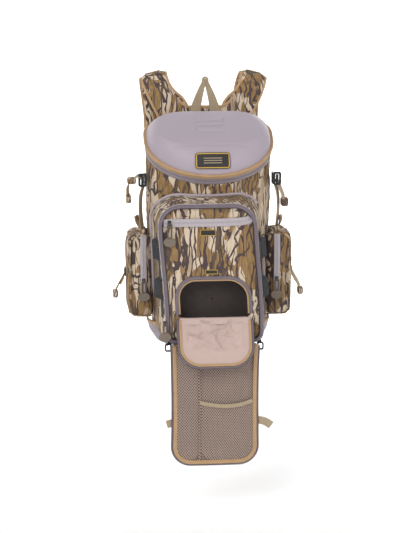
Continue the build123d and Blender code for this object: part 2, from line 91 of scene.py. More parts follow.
def smooth_path(points, count, rounds=3):
    """A smooth open path through a few corner points."""
    points = np.asarray(points, float)
    for _ in range(rounds):
        cut = np.empty((2 * len(points) - 2, points.shape[1]))
        cut[0::2] = 0.75 * points[:-1] + 0.25 * points[1:]
        cut[1::2] = 0.25 * points[:-1] + 0.75 * points[1:]
        points = np.vstack([points[:1], cut, points[-1:]])
    return resample(points, count)


def tangents(path, closed):
    """Unit directions along a path."""
    if closed:
        return unit(np.roll(path, -1, axis=0) - np.roll(path, 1, axis=0))
    return unit(np.gradient(path, axis=0))


def rounded(half_width, low, high, top_corner, low_corner, count=180):
    """A rectangle with round corners, counter-clockwise in x and height from its lower right corner."""
    corners = [
        (half_width - low_corner, low + low_corner, low_corner, -90),
        (half_width - top_corner, high - top_corner, top_corner, 0),
        (top_corner - half_width, high - top_corner, top_corner, 90),
        (low_corner - half_width, low + low_corner, low_corner, 180),
    ]
    points = []
    for centre_x, centre_y, radius, start in corners:
        for step in range(17):
            angle = math.radians(start + 90 * step / 16)
            points.append((centre_x + radius * math.cos(angle), centre_y + radius * math.sin(angle)))
    return resample(points, count, closed=True)


def outward(outline):
    """Outward normals of a counter-clockwise outline."""
    along = tangents(outline, True)
    return np.stack([along[:, 1], -along[:, 0]], axis=1)


def bag_outline(half_width, front_edge, waist, back_edge, corner, count=200):
    """The bag from above, counter-clockwise in x and depth from the middle of its back."""
    points = [(0, back_edge)]
    front = np.radians(np.arange(180, 361, 3))
    wall = np.stack([half_width * np.cos(front), waist + (waist - front_edge) * np.sin(front)], axis=1)
    for turn, start, along in ((-1, 90, wall), (1, 0, [])):
        for part in range(13):
            angle = math.radians(start + 90 * part / 12)
            across = turn * (half_width - corner) + corner * math.cos(angle)
            points.append((across, back_edge - corner + corner * math.sin(angle)))
        points.extend(along)
    return resample(points, count, closed=True)


def wobble(points, size, seed=0.0, stretch=(1, 1, 1)):
    """Smooth noise at each point, about -1 to 1, with features of the given size in millimetres."""
    points = np.asarray(points, float)
    flat = points.reshape(-1, 3) / size * np.array(stretch)
    values = [noise.noise(Vector((p[0] + seed, p[1] + 3.1 * seed, p[2] - seed))) for p in flat]
    return np.array(values).reshape(points.shape[:-1])


def lean(points, share=1.0):
    """Moves the front compartment's upper part to the side, as it hangs."""
    points = np.array(points, float)
    points[..., 0] += LEAN * share * smoothstep((points[..., 2] - 70) / 260)
    return points


# ---- Meshes ----
def make_object(name, points, faces, corner_uvs, materials, face_materials):
    """A smooth mesh object from pack points; corner_uvs holds one pair for each face corner, in metres."""
    mesh = bpy.data.meshes.new(name)
    mesh.from_pydata(metres(points).tolist(), [], faces)
    layer = mesh.uv_layers.new(name="UVMap")
    layer.data.foreach_set("uv", np.asarray(corner_uvs, np.float32).ravel() / 1000)
    for material in materials:
        mesh.materials.append(material)
    mesh.polygons.foreach_set("material_index", face_materials)
    mesh.polygons.foreach_set("use_smooth", [True] * len(mesh.polygons))
    work = bmesh.new()
    work.from_mesh(mesh)
    bmesh.ops.recalc_face_normals(work, faces=work.faces)
    work.to_mesh(mesh)
    work.free()
    return link_copy(name, mesh)


def link_copy(name, data):
    """An object in the scene that holds the data."""
    obj = bpy.data.objects.new(name, data)
    bpy.context.scene.collection.objects.link(obj)
    return obj


def place_piece(obj, body="pack", cad=None, slot=None):
    """Rides a finished piece on a body and hides the CAD node it stands for; slot is not used."""
    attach(obj, body)
    if cad:
        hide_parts(cad)
    return obj


def run_along(points):
    """The distance from the first point to each, along a polyline."""
    return np.concatenate([[0], np.cumsum(np.linalg.norm(np.diff(points, axis=0), axis=1))])


def surface(name, grid, materials, close_u=False, close_v=False, columns_uv=None, row_material=None, caps=False,
            body="pack", **place):
    """A quad surface from a grid of pack points, rows by columns, set on a body unless that is None."""
    grid = np.asarray(grid, float)
    rows, columns = grid.shape[:2]
    rows_uv = run_along(grid[:, 0])
    if columns_uv is None:
        columns_uv = run_along(grid[0])
    rows_uv = np.append(rows_uv, rows_uv[-1] + np.linalg.norm(grid[0, 0] - grid[-1, 0]))
    columns_uv = np.append(columns_uv, columns_uv[-1] + np.linalg.norm(grid[0, 0] - grid[0, -1]))
    faces, uvs, slots = [], [], []
    for i in range(rows if close_u else rows - 1):
        below = (i + 1) % rows
        for j in range(columns if close_v else columns - 1):
            beside = (j + 1) % columns
            faces.append((i * columns + j, i * columns + beside, below * columns + beside, below * columns + j))
            for a, b in ((i, j), (i, j + 1), (i + 1, j + 1), (i + 1, j)):
                uvs.append((rows_uv[a], columns_uv[b]))
            slots.append(0 if row_material is None else row_material[i])
    if caps:
        for row, order in ((0, -1), (rows - 1, 1)):
            faces.append([row * columns + j for j in range(columns)][::order])
            uvs.extend([(rows_uv[row], columns_uv[j]) for j in range(columns)][::order])
            slots.append(0)
    obj = make_object(name, grid.reshape(-1, 3), faces, uvs, materials, slots)
    return place_piece(obj, body, **place) if body else obj


def squared(count, power_across, power_up):
    """Points of a circle, its two axes squared off by powers below one."""
    angles = 2 * np.pi * np.arange(count) / count
    cos, sin = np.cos(angles), np.sin(angles)
    return np.sign(cos) * np.abs(cos) ** power_across, np.sign(sin) * np.abs(sin) ** power_up


def flat_section(width, thickness, crown=0.35):
    """Cross-section of webbing or tape, round at its edges."""
    across, lift = squared(16, crown, crown + 0.2)
    return np.stack([across * width / 2, lift * thickness / 2], axis=1)


def round_section(radius, count=12):
    """Cross-section of a cord."""
    angles = 2 * np.pi * np.arange(count) / count
    return np.stack([np.cos(angles), np.sin(angles)], axis=1) * radius


def zipper_section(width, thickness, gap=1.1):
    """Cross-section of a reverse-coil zipper: two tapes that meet in a groove."""
    half = width / 2
    top = thickness / 2
    return np.array([
        (-half, -top), (-half, top * 0.7), (-half + 1, top), (-gap - 1.2, top), (-gap, top * 1.5), (-0.3, top * 1.1),
        (0, -top * 0.2), (0.3, top * 1.1), (gap, top * 1.5), (gap + 1.2, top), (half - 1, top), (half, top * 0.7),
        (half, -top),
    ])


def sweep(name, path, side, lift, section, material, closed=False, **place):
    """Carries a section along a path. Its first axis lies along side and its second along lift."""
    path = np.asarray(path, float)
    side = np.broadcast_to(np.asarray(side, float), path.shape)
    lift = np.broadcast_to(np.asarray(lift, float), path.shape)
    grid = path[:, None] + side[:, None] * section[None, :, :1] + lift[:, None] * section[None, :, 1:]
    return surface(name, grid, [material], closed, True, section[:, 0], caps=not closed, **place)


def ribbon(name, points, side, width, thickness, material, count=60, **place):
    """A webbing along a smooth path, as wide as width along side."""
    path = smooth_path(points, count)
    side = unit(np.broadcast_to(np.asarray(side, float), path.shape))
    along = tangents(path, False)
    lift = unit(np.cross(side, along))
    return sweep(name, path, unit(np.cross(along, lift)), lift, flat_section(width, thickness), material, **place)


def front_strip(name, path, section, material, **place):
    """A section along an open path, with its top to the front."""
    sweep(name, path, unit(np.cross(tangents(path, False), FORWARD)), FORWARD, section, material, **place)


def pair_ribbon(name, turn, points, side, width, thickness, material, cad=None, **more):
    """A ribbon drawn for the right side. The right one stands for the pair's CAD node."""
    points = [(turn * x, depth, height) for x, depth, height in points]
    name += "_right" if turn > 0 else "_left"
    return ribbon(name, points, side, width, thickness, material, cad=cad if turn > 0 else None, **more)


def facing(outline, depth):
    """An outline in x and height as pack points at a depth or depths."""
    return np.stack([outline[:, 0], np.broadcast_to(depth, len(outline)), outline[:, 1]], axis=1)


def below(outline, height):
    """The points of an outline that lie below a height, in one run."""
    part = np.where(outline[:, 1] < height)[0]
    gaps = np.diff(part) > 1
    return np.roll(part, -int(np.argmax(gaps)) - 1) if np.any(gaps) else part


def edge_strip(name, outline, depth, section, material, shape=None, part=None, **place):
    """A tape, binding or cord along an outline that faces the front, or along a part of it."""
    path, side = facing(outline, depth), facing(outward(outline), 0)
    if part is not None:
        path, side = path[part], side[part]
    if shape is not None:
        path = shape(path)
    return sweep(name, path, side, FORWARD, section, material, part is None, **place)


def on_front(x, height):
    """Points of the front plane at these places, to take noise from."""
    return np.stack([x, np.zeros_like(x), height], axis=-1)


def sheet_panel(name, outline, relief, thickness, materials, shape=None, rings=26, **place):
    """A thick sheet in an outline. relief(x, height, ring) gives how far its face stands forward."""
    middle = outline.mean(axis=0)
    shares = np.sin(np.linspace(0.02, 1, rings) * np.pi / 2)
    flat = middle + shares[:, None, None] * (outline - middle)[None]
    ring = np.broadcast_to(shares[:, None], flat.shape[:2])
    stand = relief(flat[..., 0], flat[..., 1], ring)
    face = np.stack([flat[..., 0], -stand, flat[..., 1]], axis=2)
    back = face[::-1].copy()
    back[..., 1] += thickness * np.sqrt(np.clip(1.02 - ring[::-1] ** 6, 0, 1))
    grid = np.concatenate([face, back])
    if shape is not None:
        grid = shape(grid)
    picks = [0] * rings + [len(materials) - 1] * rings
    return surface(name, grid, materials, close_v=True, row_material=picks, caps=True, **place)


# ---- Materials ----
def shader(name, color, roughness, metallic=0.0, sheen=0.0, specular=0.5):
    """A material whose shader has plain values, to which textures are added."""
    material = bpy.data.materials.new(name)
    material.use_nodes = True
    shade = material.node_tree.nodes["Principled BSDF"]
    shade.inputs["Base Color"].default_value = (*color, 1)
    shade.inputs["Roughness"].default_value = roughness
    shade.inputs["Metallic"].default_value = metallic
    shade.inputs["Sheen Weight"].default_value = sheen
    shade.inputs["Specular IOR Level"].default_value = specular
    return material, material.node_tree, shade


def node(tree, kind, links=(), **values):
    """A node with its values set and its inputs linked."""
    made = tree.nodes.new("ShaderNode" + kind)
    for key, value in values.items():
        if key in made.bl_rna.properties:
            setattr(made, key, value)
        else:
            made.inputs[key.replace("_", " ")].default_value = value
    for slot, source in dict(links).items():
        tree.links.new(source, made.inputs[slot])
    return made


def maths(tree, operation, first, second=None):
    """One sum; each term is a number or a socket."""
    made = tree.nodes.new("ShaderNodeMath")
    made.operation = operation
    for index, term in enumerate((first, second)):
        if term is None:
            continue
        if isinstance(term, (int, float)):
            made.inputs[index].default_value = term
        else:
            tree.links.new(term, made.inputs[index])
    return made.outputs[0]


def times(tree, first, second):
    return maths(tree, "MULTIPLY", first, second)


def plus(tree, first, second):
    return maths(tree, "ADD", first, second)


def wave(tree, value, pitch):
    """A sine with this distance from crest to crest."""
    return maths(tree, "SINE", times(tree, value, 2 * math.pi / pitch))


def axes(tree, kind="TexCoord", output="Object"):
    """The three parts of a coordinate: the object's own, or the surface's with UVMap and UV."""
    return node(tree, "SeparateXYZ", {"Vector": node(tree, kind).outputs[output]}).outputs


def mix(tree, share, first, second):
    """Mixes two colours; each is a triple or a socket."""
    made = tree.nodes.new("ShaderNodeMix")
    made.data_type = "RGBA"
    for index, term in ((0, share), (6, first), (7, second)):
        if isinstance(term, (int, float)):
            made.inputs[index].default_value = term
        elif isinstance(term, tuple):
            made.inputs[index].default_value = (*term, 1)
        else:
            tree.links.new(term, made.inputs[index])
    return made.outputs[2]


def step(tree, value, low, high):
    """A soft threshold."""
    made = tree.nodes.new("ShaderNodeMapRange")
    made.interpolation_type = "SMOOTHSTEP"
    tree.links.new(value, made.inputs["Value"])
    made.inputs["From Min"].default_value = low
    made.inputs["From Max"].default_value = high
    return made.outputs["Result"]


def spots(tree, scale, stretch=(1, 1, 1), detail=2.0, distortion=0.0, shift=0.0):
    """Noise in the object's own coordinates; scale is features per metre."""
    place = tree.nodes.new("ShaderNodeTexCoord").outputs["Object"]
    place = node(tree, "Mapping", {"Vector": place}, Location=(shift, shift * 0.7, -shift), Scale=stretch).outputs[0]
    made = node(tree, "TexNoise", {"Vector": place}, Scale=scale, Detail=detail, Distortion=distortion)
    return made.outputs["Fac"]


def weave(tree, pitch):
    """A plain weave in the object's own coordinates."""
    parts = axes(tree)
    return times(tree, wave(tree, plus(tree, parts[0], parts[1]), pitch), wave(tree, parts[2], pitch))


def bump(tree, shade, height, distance, strength=1.0):
    """Adds relief; a second call lies on top of the first."""
    made = node(tree, "Bump", {"Height": height}, Strength=strength, Distance=distance)
    if shade.inputs["Normal"].is_linked:
        tree.links.new(shade.inputs["Normal"].links[0].from_socket, made.inputs["Normal"])
    tree.links.new(made.outputs[0], shade.inputs["Normal"])


def paint(tree, shade, color):
    """Links a colour to the shader."""
    tree.links.new(color, shade.inputs["Base Color"])


def rough(tree, shade, base, spread, value):
    """Roughness that varies with a texture."""
    tree.links.new(plus(tree, times(tree, value, spread), base), shade.inputs["Roughness"])


def bark_lines(tree, spacing, wander, reach, shift):
    """Broken dark lines that run up the cloth and wander sideways."""
    place = axes(tree)
    across = plus(tree, place[0], times(tree, place[1], 0.8))
    bend = times(tree, spots(tree, 24, (1, 1, 0.55), 2.5, 0.5, shift), wander)
    lines = maths(tree, "FRACT", times(tree, plus(tree, across, bend), 1 / spacing))
    away = maths(tree, "ABSOLUTE", maths(tree, "SUBTRACT", lines, 0.5))
    where = step(tree, spots(tree, 42, (1, 1, 0.4), 2.5, 0.5, shift + 4), 0.36, 0.6)
    return maths(tree, "LESS_THAN", away, times(tree, where, reach))


def camo_fabric(name, shift=0.0, size=1.0):
    """Brushed cloth with a print of tree bark: pale ground, brown plates and dark broken streaks."""
    material, tree, shade = shader(name, (0.4, 0.3, 0.2), 0.85, sheen=0.08, specular=0.2)
    grain = spots(tree, 330 * size, (1, 1, 0.1), 3, shift=shift)
    pale = step(tree, spots(tree, 50 * size, (1, 1, 0.3), 2, 0.4, shift + 2), 0.5, 0.62)
    ground = mix(tree, pale, (0.66, 0.535, 0.4), (0.45, 0.34, 0.235))
    bark = mix(tree, step(tree, grain, 0.4, 0.62), (0.33, 0.205, 0.09), (0.24, 0.148, 0.068))
    plates = step(tree, spots(tree, 31 * size, (1, 1, 0.42), 1.2, 0.8, shift + 5), 0.49, 0.505)
    color = mix(tree, plates, ground, bark)
    shaded = step(tree, spots(tree, 44 * size, (1, 1, 0.25), 1.5, 1.0, shift + 9), 0.6, 0.61)
    color = mix(tree, shaded, color, (0.13, 0.09, 0.066))
    for spacing, wander, reach, start in ((0.013, 0.06, 0.17, 13), (0.02, 0.09, 0.14, 27)):
        color = mix(tree, bark_lines(tree, spacing / size, wander, reach, shift + start), color, (0.085, 0.06, 0.058))
    fleck = times(tree, step(tree, grain, 0.6, 0.72), 0.3)
    color = mix(tree, fleck, color, (0.12, 0.078, 0.055))
    paint(tree, shade, color)
    bump(tree, shade, weave(tree, 0.0011), 0.0003, 0.5)
    bump(tree, shade, spots(tree, 420, detail=2), 0.0006, 0.35)
    rough(tree, shade, 0.76, 0.2, grain)
    return material


def plain_fabric(name, color, shadow, pitch=0.0011, roughness=0.82, relief=0.0003):
    """Woven cloth with a little unevenness in its dye."""
    material, tree, shade = shader(name, color, roughness, sheen=0.1, specular=0.25)
    uneven = spots(tree, 45, detail=3)
    thread = step(tree, weave(tree, pitch), -0.6, 0.8)
    paint(tree, shade, mix(tree, times(tree, thread, 0.8), mix(tree, uneven, shadow, color), color))
    bump(tree, shade, thread, relief, 0.7)
    bump(tree, shade, spots(tree, 160, detail=2), 0.0008, 0.3)
    rough(tree, shade, roughness - 0.08, 0.16, uneven)
    return material


def strap_fabric(name, color, shadow, rib=0.0016, half=0.0125):
    """Flat-woven webbing: ribs across it with painted shade between them, painted shade along its two edges, and a
    little wear.
    """
    material, tree, shade = shader(name, color, 0.78, sheen=0.08, specular=0.25)
    place = axes(tree, "UVMap", "UV")
    ribs = times(tree, wave(tree, place[1], rib), wave(tree, place[0], rib * 1.3))
    thread = step(tree, ribs, -0.7, 0.7)
    # The two edges are painted towards the shadow colour: painted shade where the webbing turns away.
    edge = step(tree, maths(tree, "ABSOLUTE", place[1]), half * 0.8, half)
    tone = mix(tree, spots(tree, 70, detail=3), shadow, color)
    paint(tree, shade, mix(tree, times(tree, edge, 0.35), mix(tree, thread, shadow, tone), shadow))
    bump(tree, shade, thread, 0.00035, 0.8)
    rough(tree, shade, 0.7, 0.18, thread)
    return material


def zipper_tape(name, color, shadow, teeth):
    """Coated zipper tape whose coil shows as fine ribs beside the middle groove."""
    pitch, half = 0.0021, 0.0017
    material, tree, shade = shader(name, color, 0.55, specular=0.35)
    place = axes(tree, "UVMap", "UV")
    away = maths(tree, "ABSOLUTE", place[1])
    ribs = step(tree, wave(tree, place[0], pitch), -0.5, 0.5)
    coil = maths(tree, "LESS_THAN", away, half)
    tone = mix(tree, spots(tree, 90, detail=3), shadow, color)
    tape = mix(tree, times(tree, step(tree, weave(tree, 0.0009), -0.5, 0.5), 0.25), tone, shadow)
    paint(tree, shade, mix(tree, coil, tape, mix(tree, ribs, teeth, shadow)))
    bump(tree, shade, times(tree, ribs, coil), 0.0006, 0.8)
    bump(tree, shade, spots(tree, 500, detail=2), 0.0003, 0.3)
    rough(tree, shade, 0.45, 0.2, ribs)
    return material


def knit_mesh(name, strand, hole_shade, pitch):
    """Open warp-knit mesh: slanting strands around small diamond openings, which are painted dark as painted shade of
    what lies behind them.
    """
    material, tree, shade = shader(name, strand, 0.85, sheen=0.1, specular=0.2)
    place = axes(tree)
    wander = times(tree, spots(tree, 30, detail=1), 0.002)
    level = plus(tree, plus(tree, place[0], times(tree, place[1], 0.9)), wander)
    x = times(tree, level, 2 * math.pi / pitch)
    z = times(tree, place[2], 2 * math.pi / (pitch * 1.25))
    rising = maths(tree, "SINE", plus(tree, x, z))
    net = times(tree, rising, maths(tree, "SINE", maths(tree, "SUBTRACT", x, z)))
    strands = step(tree, maths(tree, "ABSOLUTE", net), 0.25, 0.6)
    tone = mix(tree, spots(tree, 25, detail=3), tuple(0.82 * c for c in strand), strand)
    # The openings between the strands take a dark colour: painted shade.
    paint(tree, shade, mix(tree, strands, tone, hole_shade))
    bump(tree, shade, maths(tree, "SUBTRACT", 1.0, strands), 0.0009, 0.8)
    return material


def moulded(name, color, shadow, roughness, grain=700, relief=0.00025, sheen=0.0, metallic=0.0):
    """Moulded plastic, foam or rubber with a fine grain, darker specks in its pores and a tone that varies at random.
    """
    material, tree, shade = shader(name, color, roughness, metallic, sheen, 0.4)
    uneven = spots(tree, 9, detail=3)
    pores = spots(tree, grain, detail=2)
    speck = times(tree, step(tree, pores, 0.35, 0.65), 0.25)
    paint(tree, shade, mix(tree, speck, mix(tree, uneven, shadow, color), shadow))
    bump(tree, shade, pores, relief, 0.6)
    rough(tree, shade, roughness - 0.06, 0.14, spots(tree, 60, detail=4))
    return material


camo = camo_fabric("printed_bark_cloth")
camo_second = camo_fabric("printed_bark_cloth_offset", 31.0)
shell = moulded("moulded_foam_shell", (0.42, 0.36, 0.41), (0.375, 0.32, 0.368), 0.48, sheen=0.1)
coated = moulded("coated_base_cloth", (0.34, 0.29, 0.325), (0.26, 0.22, 0.25), 0.55, grain=900, relief=0.0004)
binding = strap_fabric("binding_tape", (0.66, 0.45, 0.26), (0.45, 0.28, 0.145), 0.0012, 0.006)
khaki = strap_fabric("khaki_webbing", (0.54, 0.435, 0.3), (0.38, 0.295, 0.195))
dark_web = strap_fabric("dark_webbing", (0.06, 0.066, 0.07), (0.025, 0.028, 0.03), 0.0015, 0.01)
bark_web = camo_fabric("printed_webbing", 57.0, 2.2)
pale_zip = zipper_tape("pale_zipper_tape", (0.5, 0.45, 0.47), (0.36, 0.32, 0.34), (0.56, 0.52, 0.54))
# The mauve tape is darkened partly for its own dark mauve and partly as painted shade.
mauve_zip = zipper_tape("mauve_zipper_tape", (0.2, 0.16, 0.185), (0.1, 0.08, 0.095), (0.34, 0.29, 0.32))
lid_zip = zipper_tape("lid_zipper_tape", (0.4, 0.34, 0.375), (0.28, 0.235, 0.265), (0.34, 0.29, 0.32))
piping = moulded("coated_piping", (0.46, 0.4, 0.43), (0.36, 0.31, 0.335), 0.5)
lining = plain_fabric("flap_lining", (0.6, 0.455, 0.41), (0.5, 0.37, 0.33), 0.0009, 0.6, 0.0002)
# Near-black lining for the insides: painted shade, where the real lining is a pinkish mauve.
painted_shade_lining = plain_fabric("pocket_lining_painted_shade", (0.075, 0.06, 0.055), (0.04, 0.032, 0.03))
mesh_cloth = knit_mesh("pocket_mesh", (0.45, 0.34, 0.285), (0.1, 0.075, 0.063), 0.0102)
air_mesh = knit_mesh("spacer_mesh", (0.13, 0.105, 0.09), (0.03, 0.024, 0.02), 0.011)
black = moulded("black_plastic", (0.022, 0.022, 0.024), (0.014, 0.014, 0.015), 0.42)
sheet_plastic = moulded("frame_sheet_plastic", (0.05, 0.05, 0.055), (0.035, 0.035, 0.04), 0.6)
bar_metal = moulded("stay_aluminium", (0.62, 0.62, 0.63), (0.52, 0.52, 0.53), 0.35, grain=300, metallic=1.0)
dark_metal = moulded("slider_metal", (0.1, 0.09, 0.085), (0.06, 0.055, 0.05), 0.4, grain=400, metallic=0.8)
tab_rubber = moulded("tab_rubber", (0.26, 0.215, 0.165), (0.13, 0.1, 0.075), 0.55, grain=260, relief=0.0005)
cord_cloth = moulded("pull_cord", (0.24, 0.185, 0.13), (0.05, 0.038, 0.03), 0.8, grain=420, relief=0.0006)
patch_black = moulded("patch_black", (0.03, 0.028, 0.028), (0.018, 0.017, 0.017), 0.55)
patch_gold = moulded("patch_gold", (0.66, 0.42, 0.06), (0.5, 0.3, 0.04), 0.55)


# ---- Padded pieces, by cloth simulation ----
def baked(obj):
    """The object's mesh with its modifiers applied."""
    graph = bpy.context.evaluated_depsgraph_get()
    graph.update()
    return bpy.data.meshes.new_from_object(obj.evaluated_get(graph))


def finished(obj):
    """The object with its modifiers applied."""
    mesh = baked(obj)
    obj.modifiers.clear()
    obj.data = mesh
    return obj


CLOTH_FRAMES = 20
GROWTH_KEPT = 0.9


def puffed(cad_node, name, material, cap, shrink, crease, voxel=0.005, pressure=4.0):
    """A stuffed piece grown by cloth simulation from a CAD solid, by at most cap millimetres."""
    obj = link_copy(name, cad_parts[cad_node].data.copy())
    remesh = obj.modifiers.new("remesh", "REMESH")
    remesh.mode = "VOXEL"
    remesh.voxel_size = voxel
    mesh = finished(obj).data
    start = np.array([v.co for v in mesh.vertices])
    centre = (start.min(0) + start.max(0)) / 2
    start = centre + (start - centre) * shrink
    mesh.vertices.foreach_set("co", start.ravel())
    settings = obj.modifiers.new("cloth", "CLOTH").settings
    for key, value in dict(quality=4, mass=0.2, use_pressure=True, uniform_pressure_force=pressure,
                           tension_stiffness=12, compression_stiffness=12, bending_stiffness=0.4).items():
        setattr(settings, key, value)
    settings.effector_weights.gravity = 0
    for number in range(1, CLOTH_FRAMES + 1):
        bpy.context.scene.frame_set(number)
    grown = baked(obj)
    moved = np.array([v.co for v in grown.vertices]) - start
    obj.modifiers.clear()
    bpy.context.scene.frame_set(1)
    reach = np.linalg.norm(moved, axis=1, keepdims=True)
    moved *= np.minimum(1, cap / 1000 / np.maximum(reach, 1e-9)) * GROWTH_KEPT
    shape = start + moved
    normals = np.array([v.normal for v in mesh.vertices])
    folds = wobble(shape * 1000, 34, 4.0, (1, 1, 0.55)) + 0.5 * wobble(shape * 1000, 15, 9.0)
    shape = shape + normals * folds[:, None] * crease / 1000
    mesh.vertices.foreach_set("co", shape.ravel())
    obj.modifiers.new("smooth", "SMOOTH").iterations = 3
    obj.modifiers.new("finer", "SUBSURF").levels = 1
    mesh = finished(obj).data
    mesh.materials.clear()
    mesh.materials.append(material)
    mesh.polygons.foreach_set("use_smooth", [True] * len(mesh.polygons))
    mesh.update()
    place_piece(obj, cad=cad_node)


# ---- Main bag ----
BAG_HEIGHTS = [3, 12, 34, 80, 150, 250, 520]
BAG_WIDTHS = [92, 106, 116, 123, 129, 132, 132]
BAG_FRONTS = [24, 12, 4, 0, 0, 0, 0]
BAG_BACKS = [134, 143, 149, 150, 150, 150, 150]
WAIST = 96                  # depth at which the bag is widest
MOUTH_HEIGHT = 360          # height of the sloping mouth at depth 0
BACK_CORNER = 42


def bag_section(height, grow=0.0, count=200):
    """The bag's outline at a height."""
    width, front_edge, back_edge = (np.interp(height, BAG_HEIGHTS, v) for v in (BAG_WIDTHS, BAG_FRONTS, BAG_BACKS))
    back_edge += grow
    corner = min(BACK_CORNER + grow, back_edge - WAIST - 1)
    return bag_outline(width + grow, front_edge - grow, WAIST, back_edge, corner, count)


def bag_shell(low, rows, count=200):
    """Rows of the bag's wall from a low height up to its sloping mouth, and their outward directions."""
    heights = np.linspace(low, 470, 48)
    outlines = np.array([bag_section(h, 0, count) for h in heights])
    normals = np.array([outward(o) for o in outlines])
    mouth = MOUTH_HEIGHT + outlines[-1][:, 1] * math.tan(SLOPE)
    column = np.arange(count)
    wall, out = [], []
    for share in np.linspace(0, 1, rows):
        at = low + (mouth - low) * share
        index = np.clip((at - heights[0]) / (heights[1] - heights[0]), 0, len(heights) - 1.001)
        lower = index.astype(int)
        part = (index - lower)[:, None]
        flat, side = (v[lower, column] * (1 - part) + v[lower + 1, column] * part for v in (outlines, normals))
        wall.append(np.column_stack([flat, at]))
        out.append(np.column_stack([side, np.zeros(count)]))
    return np.array(wall), unit(out)


def main_bag():
    rows = 90
    wall, out = bag_shell(4, rows)
    height = wall[..., 2]
    share = np.linspace(0, 1, rows)[:, None]
    inside = np.minimum(smoothstep(share * 8), smoothstep((1 - share) * 10))
    folds = wobble(wall, 60, 1.0, (1, 1, 0.7)) * 3 + wobble(wall, 24, 6.0, (0.8, 0.8, 2.2)) * 1.4
    droop = 2.2 * np.sin(height / 15 + wall[..., 0] / 28) * smoothstep((height - 330) / 30)
    rear = smoothstep((wall[..., 1] - 120) / 25)
    push = (folds + droop * (wall[..., 1] < 60) - 1.0) * inside * (1 - rear)
    wall = wall + out * push[..., None]
    lower = wall[::-1] - out[::-1] * 3
    lower[..., 2] = np.maximum(lower[..., 2], 8)
    floor = lower[-1]
    steps = [floor * s + floor.mean(axis=0) * (1 - s) for s in np.linspace(0.92, 0.02, 8)]
    grid = np.concatenate([wall, lower, np.array(steps)])
    # The wall's inner side and the floor take the near-black lining, painted shade.
    picks = [0] * rows + [1] * (len(grid) - rows)
    obj = surface("main_bag_cloth", grid, [camo, painted_shade_lining], close_v=True, row_material=picks, cad="main_bag")

    ring = bag_section(5, 0.6)
    path = np.column_stack([ring, np.full(len(ring), 5.0)])
    side = np.column_stack([outward(ring), np.zeros(len(ring))])
    sweep("base_seam", path, side, UP, round_section(2.2), piping, True)


# ---- Front compartment ----
FRONT_DEPTH = -60
FACE_DEPTH = -55            # depth of the organizer's face
FLARE = 0.155               # how fast the gusset widens towards the bag
GUSSET_ROWS = 26


def in_bag(x, depth, height):
    """Whether a point lies within the bag's front half."""
    width = np.interp(height, BAG_HEIGHTS, BAG_WIDTHS)
    front_edge = np.interp(height, BAG_HEIGHTS, BAG_FRONTS)
    reach = (x / width) ** 2 + (np.minimum(depth - WAIST, 0) / (WAIST - front_edge)) ** 2
    return (reach < 1) & (height > 3)


def front_ring(grow=0.0, count=220):
    """The front compartment's outline at its front edge."""
    return rounded(99 + grow, 40 - grow, 326 + grow, 45 + grow, 18 + grow, count)


def gusset_reach(ring, out):
    """For each point of the front ring, the depth at which the gusset meets the bag."""
    depths = np.full(len(ring), FRONT_DEPTH, float)
    found = np.zeros(len(ring), bool)
    for depth in np.arange(FRONT_DEPTH, 66, 0.5):
        spot = ring + out * ((depth - FRONT_DEPTH) * FLARE)
        found |= in_bag(spot[:, 0], depth, spot[:, 1])
        depths[~found] = depth
    return depths


def front_compartment():
    ring = front_ring()
    out = outward(ring)
    reach = gusset_reach(ring, out)
    rows = []
    for share in np.linspace(0, 1, GUSSET_ROWS):
        depth = FRONT_DEPTH + 1 + (reach - FRONT_DEPTH + 1) * share
        rows.append(facing(ring + out * ((depth - FRONT_DEPTH) * FLARE)[:, None], depth))
    rows = np.array(rows)
    sides = facing(out, 0)
    share = np.linspace(0, 1, GUSSET_ROWS)[:, None]
    swell = np.sin(np.pi * share) * (1.6 + 1.6 * wobble(rows, 45, 3.0)) + wobble(rows, 18, 5.0, (1, 2, 1)) * 0.7
    swell = swell * smoothstep(share * 6) * smoothstep((1 - share) * 5)
    outer = rows + sides[None] * swell[..., None]
    inner = rows[::-1] - sides[None] * 3
    grid = lean(np.concatenate([outer, inner]), 1 - 0.45 * np.concatenate([share, share[::-1]]))
    obj = surface("front_gusset_cloth", grid, [camo_second, painted_shade_lining], True, True,
                  row_material=[0] * GUSSET_ROWS + [1] * GUSSET_ROWS, cad="front_gusset")

    depth = reach - 1.5
    path = lean(facing(ring + out * ((depth - FRONT_DEPTH) * FLARE + 1.6)[:, None], depth), 0.55)
    side = unit(sides + np.array([0, -0.4, 0]))
    lift = unit(np.cross(tangents(path, True), side))
    sweep("gusset_piping_cord", path, side, lift, round_section(3.1), piping, True, cad="gusset_piping")
    edge_strip("cover_track_tape", front_ring(-1.5), -61.3, zipper_section(7.4, 2.2), mauve_zip, lean,
               cad="cover_track")
    edge_strip("cover_track_welt", front_ring(1.2), -57.8, round_section(2.1), piping, lean)


def corner_tabs():
    """Short webbing loops that hold the rings at the compartment's lower corners."""
    line = [(89, -51.5, 50), (92, -52.2, 42), (94, -52.4, 35), (95, -50.2, 32.4), (93.5, -48, 35), (91, -47.8, 42),
            (88, -48.5, 50)]
    for _, turn in SIDES:
        pair_ribbon("corner_tab", turn, line, (1, 0, 0.4), 9, 1.5, dark_web, count=50)


# ---- Organizer and binocular pocket ----
def mouth_ring(grow=0.0, count=220):
    """The binocular pocket's mouth."""
    return rounded(75 + grow, 92 - grow, 173 + grow, 42 + grow, 8 + grow, count)


def face_relief(x, height):
    """How far the organizer's face stands forward of its CAD plane."""
    full = 1.6 * np.exp(-((height - 235) / 45) ** 2) * np.cos(np.clip(x / 95, -1, 1) * np.pi / 2)
    return full + 0.8 * wobble(on_front(x, height), 30, 8.0, (1, 1, 0.5))


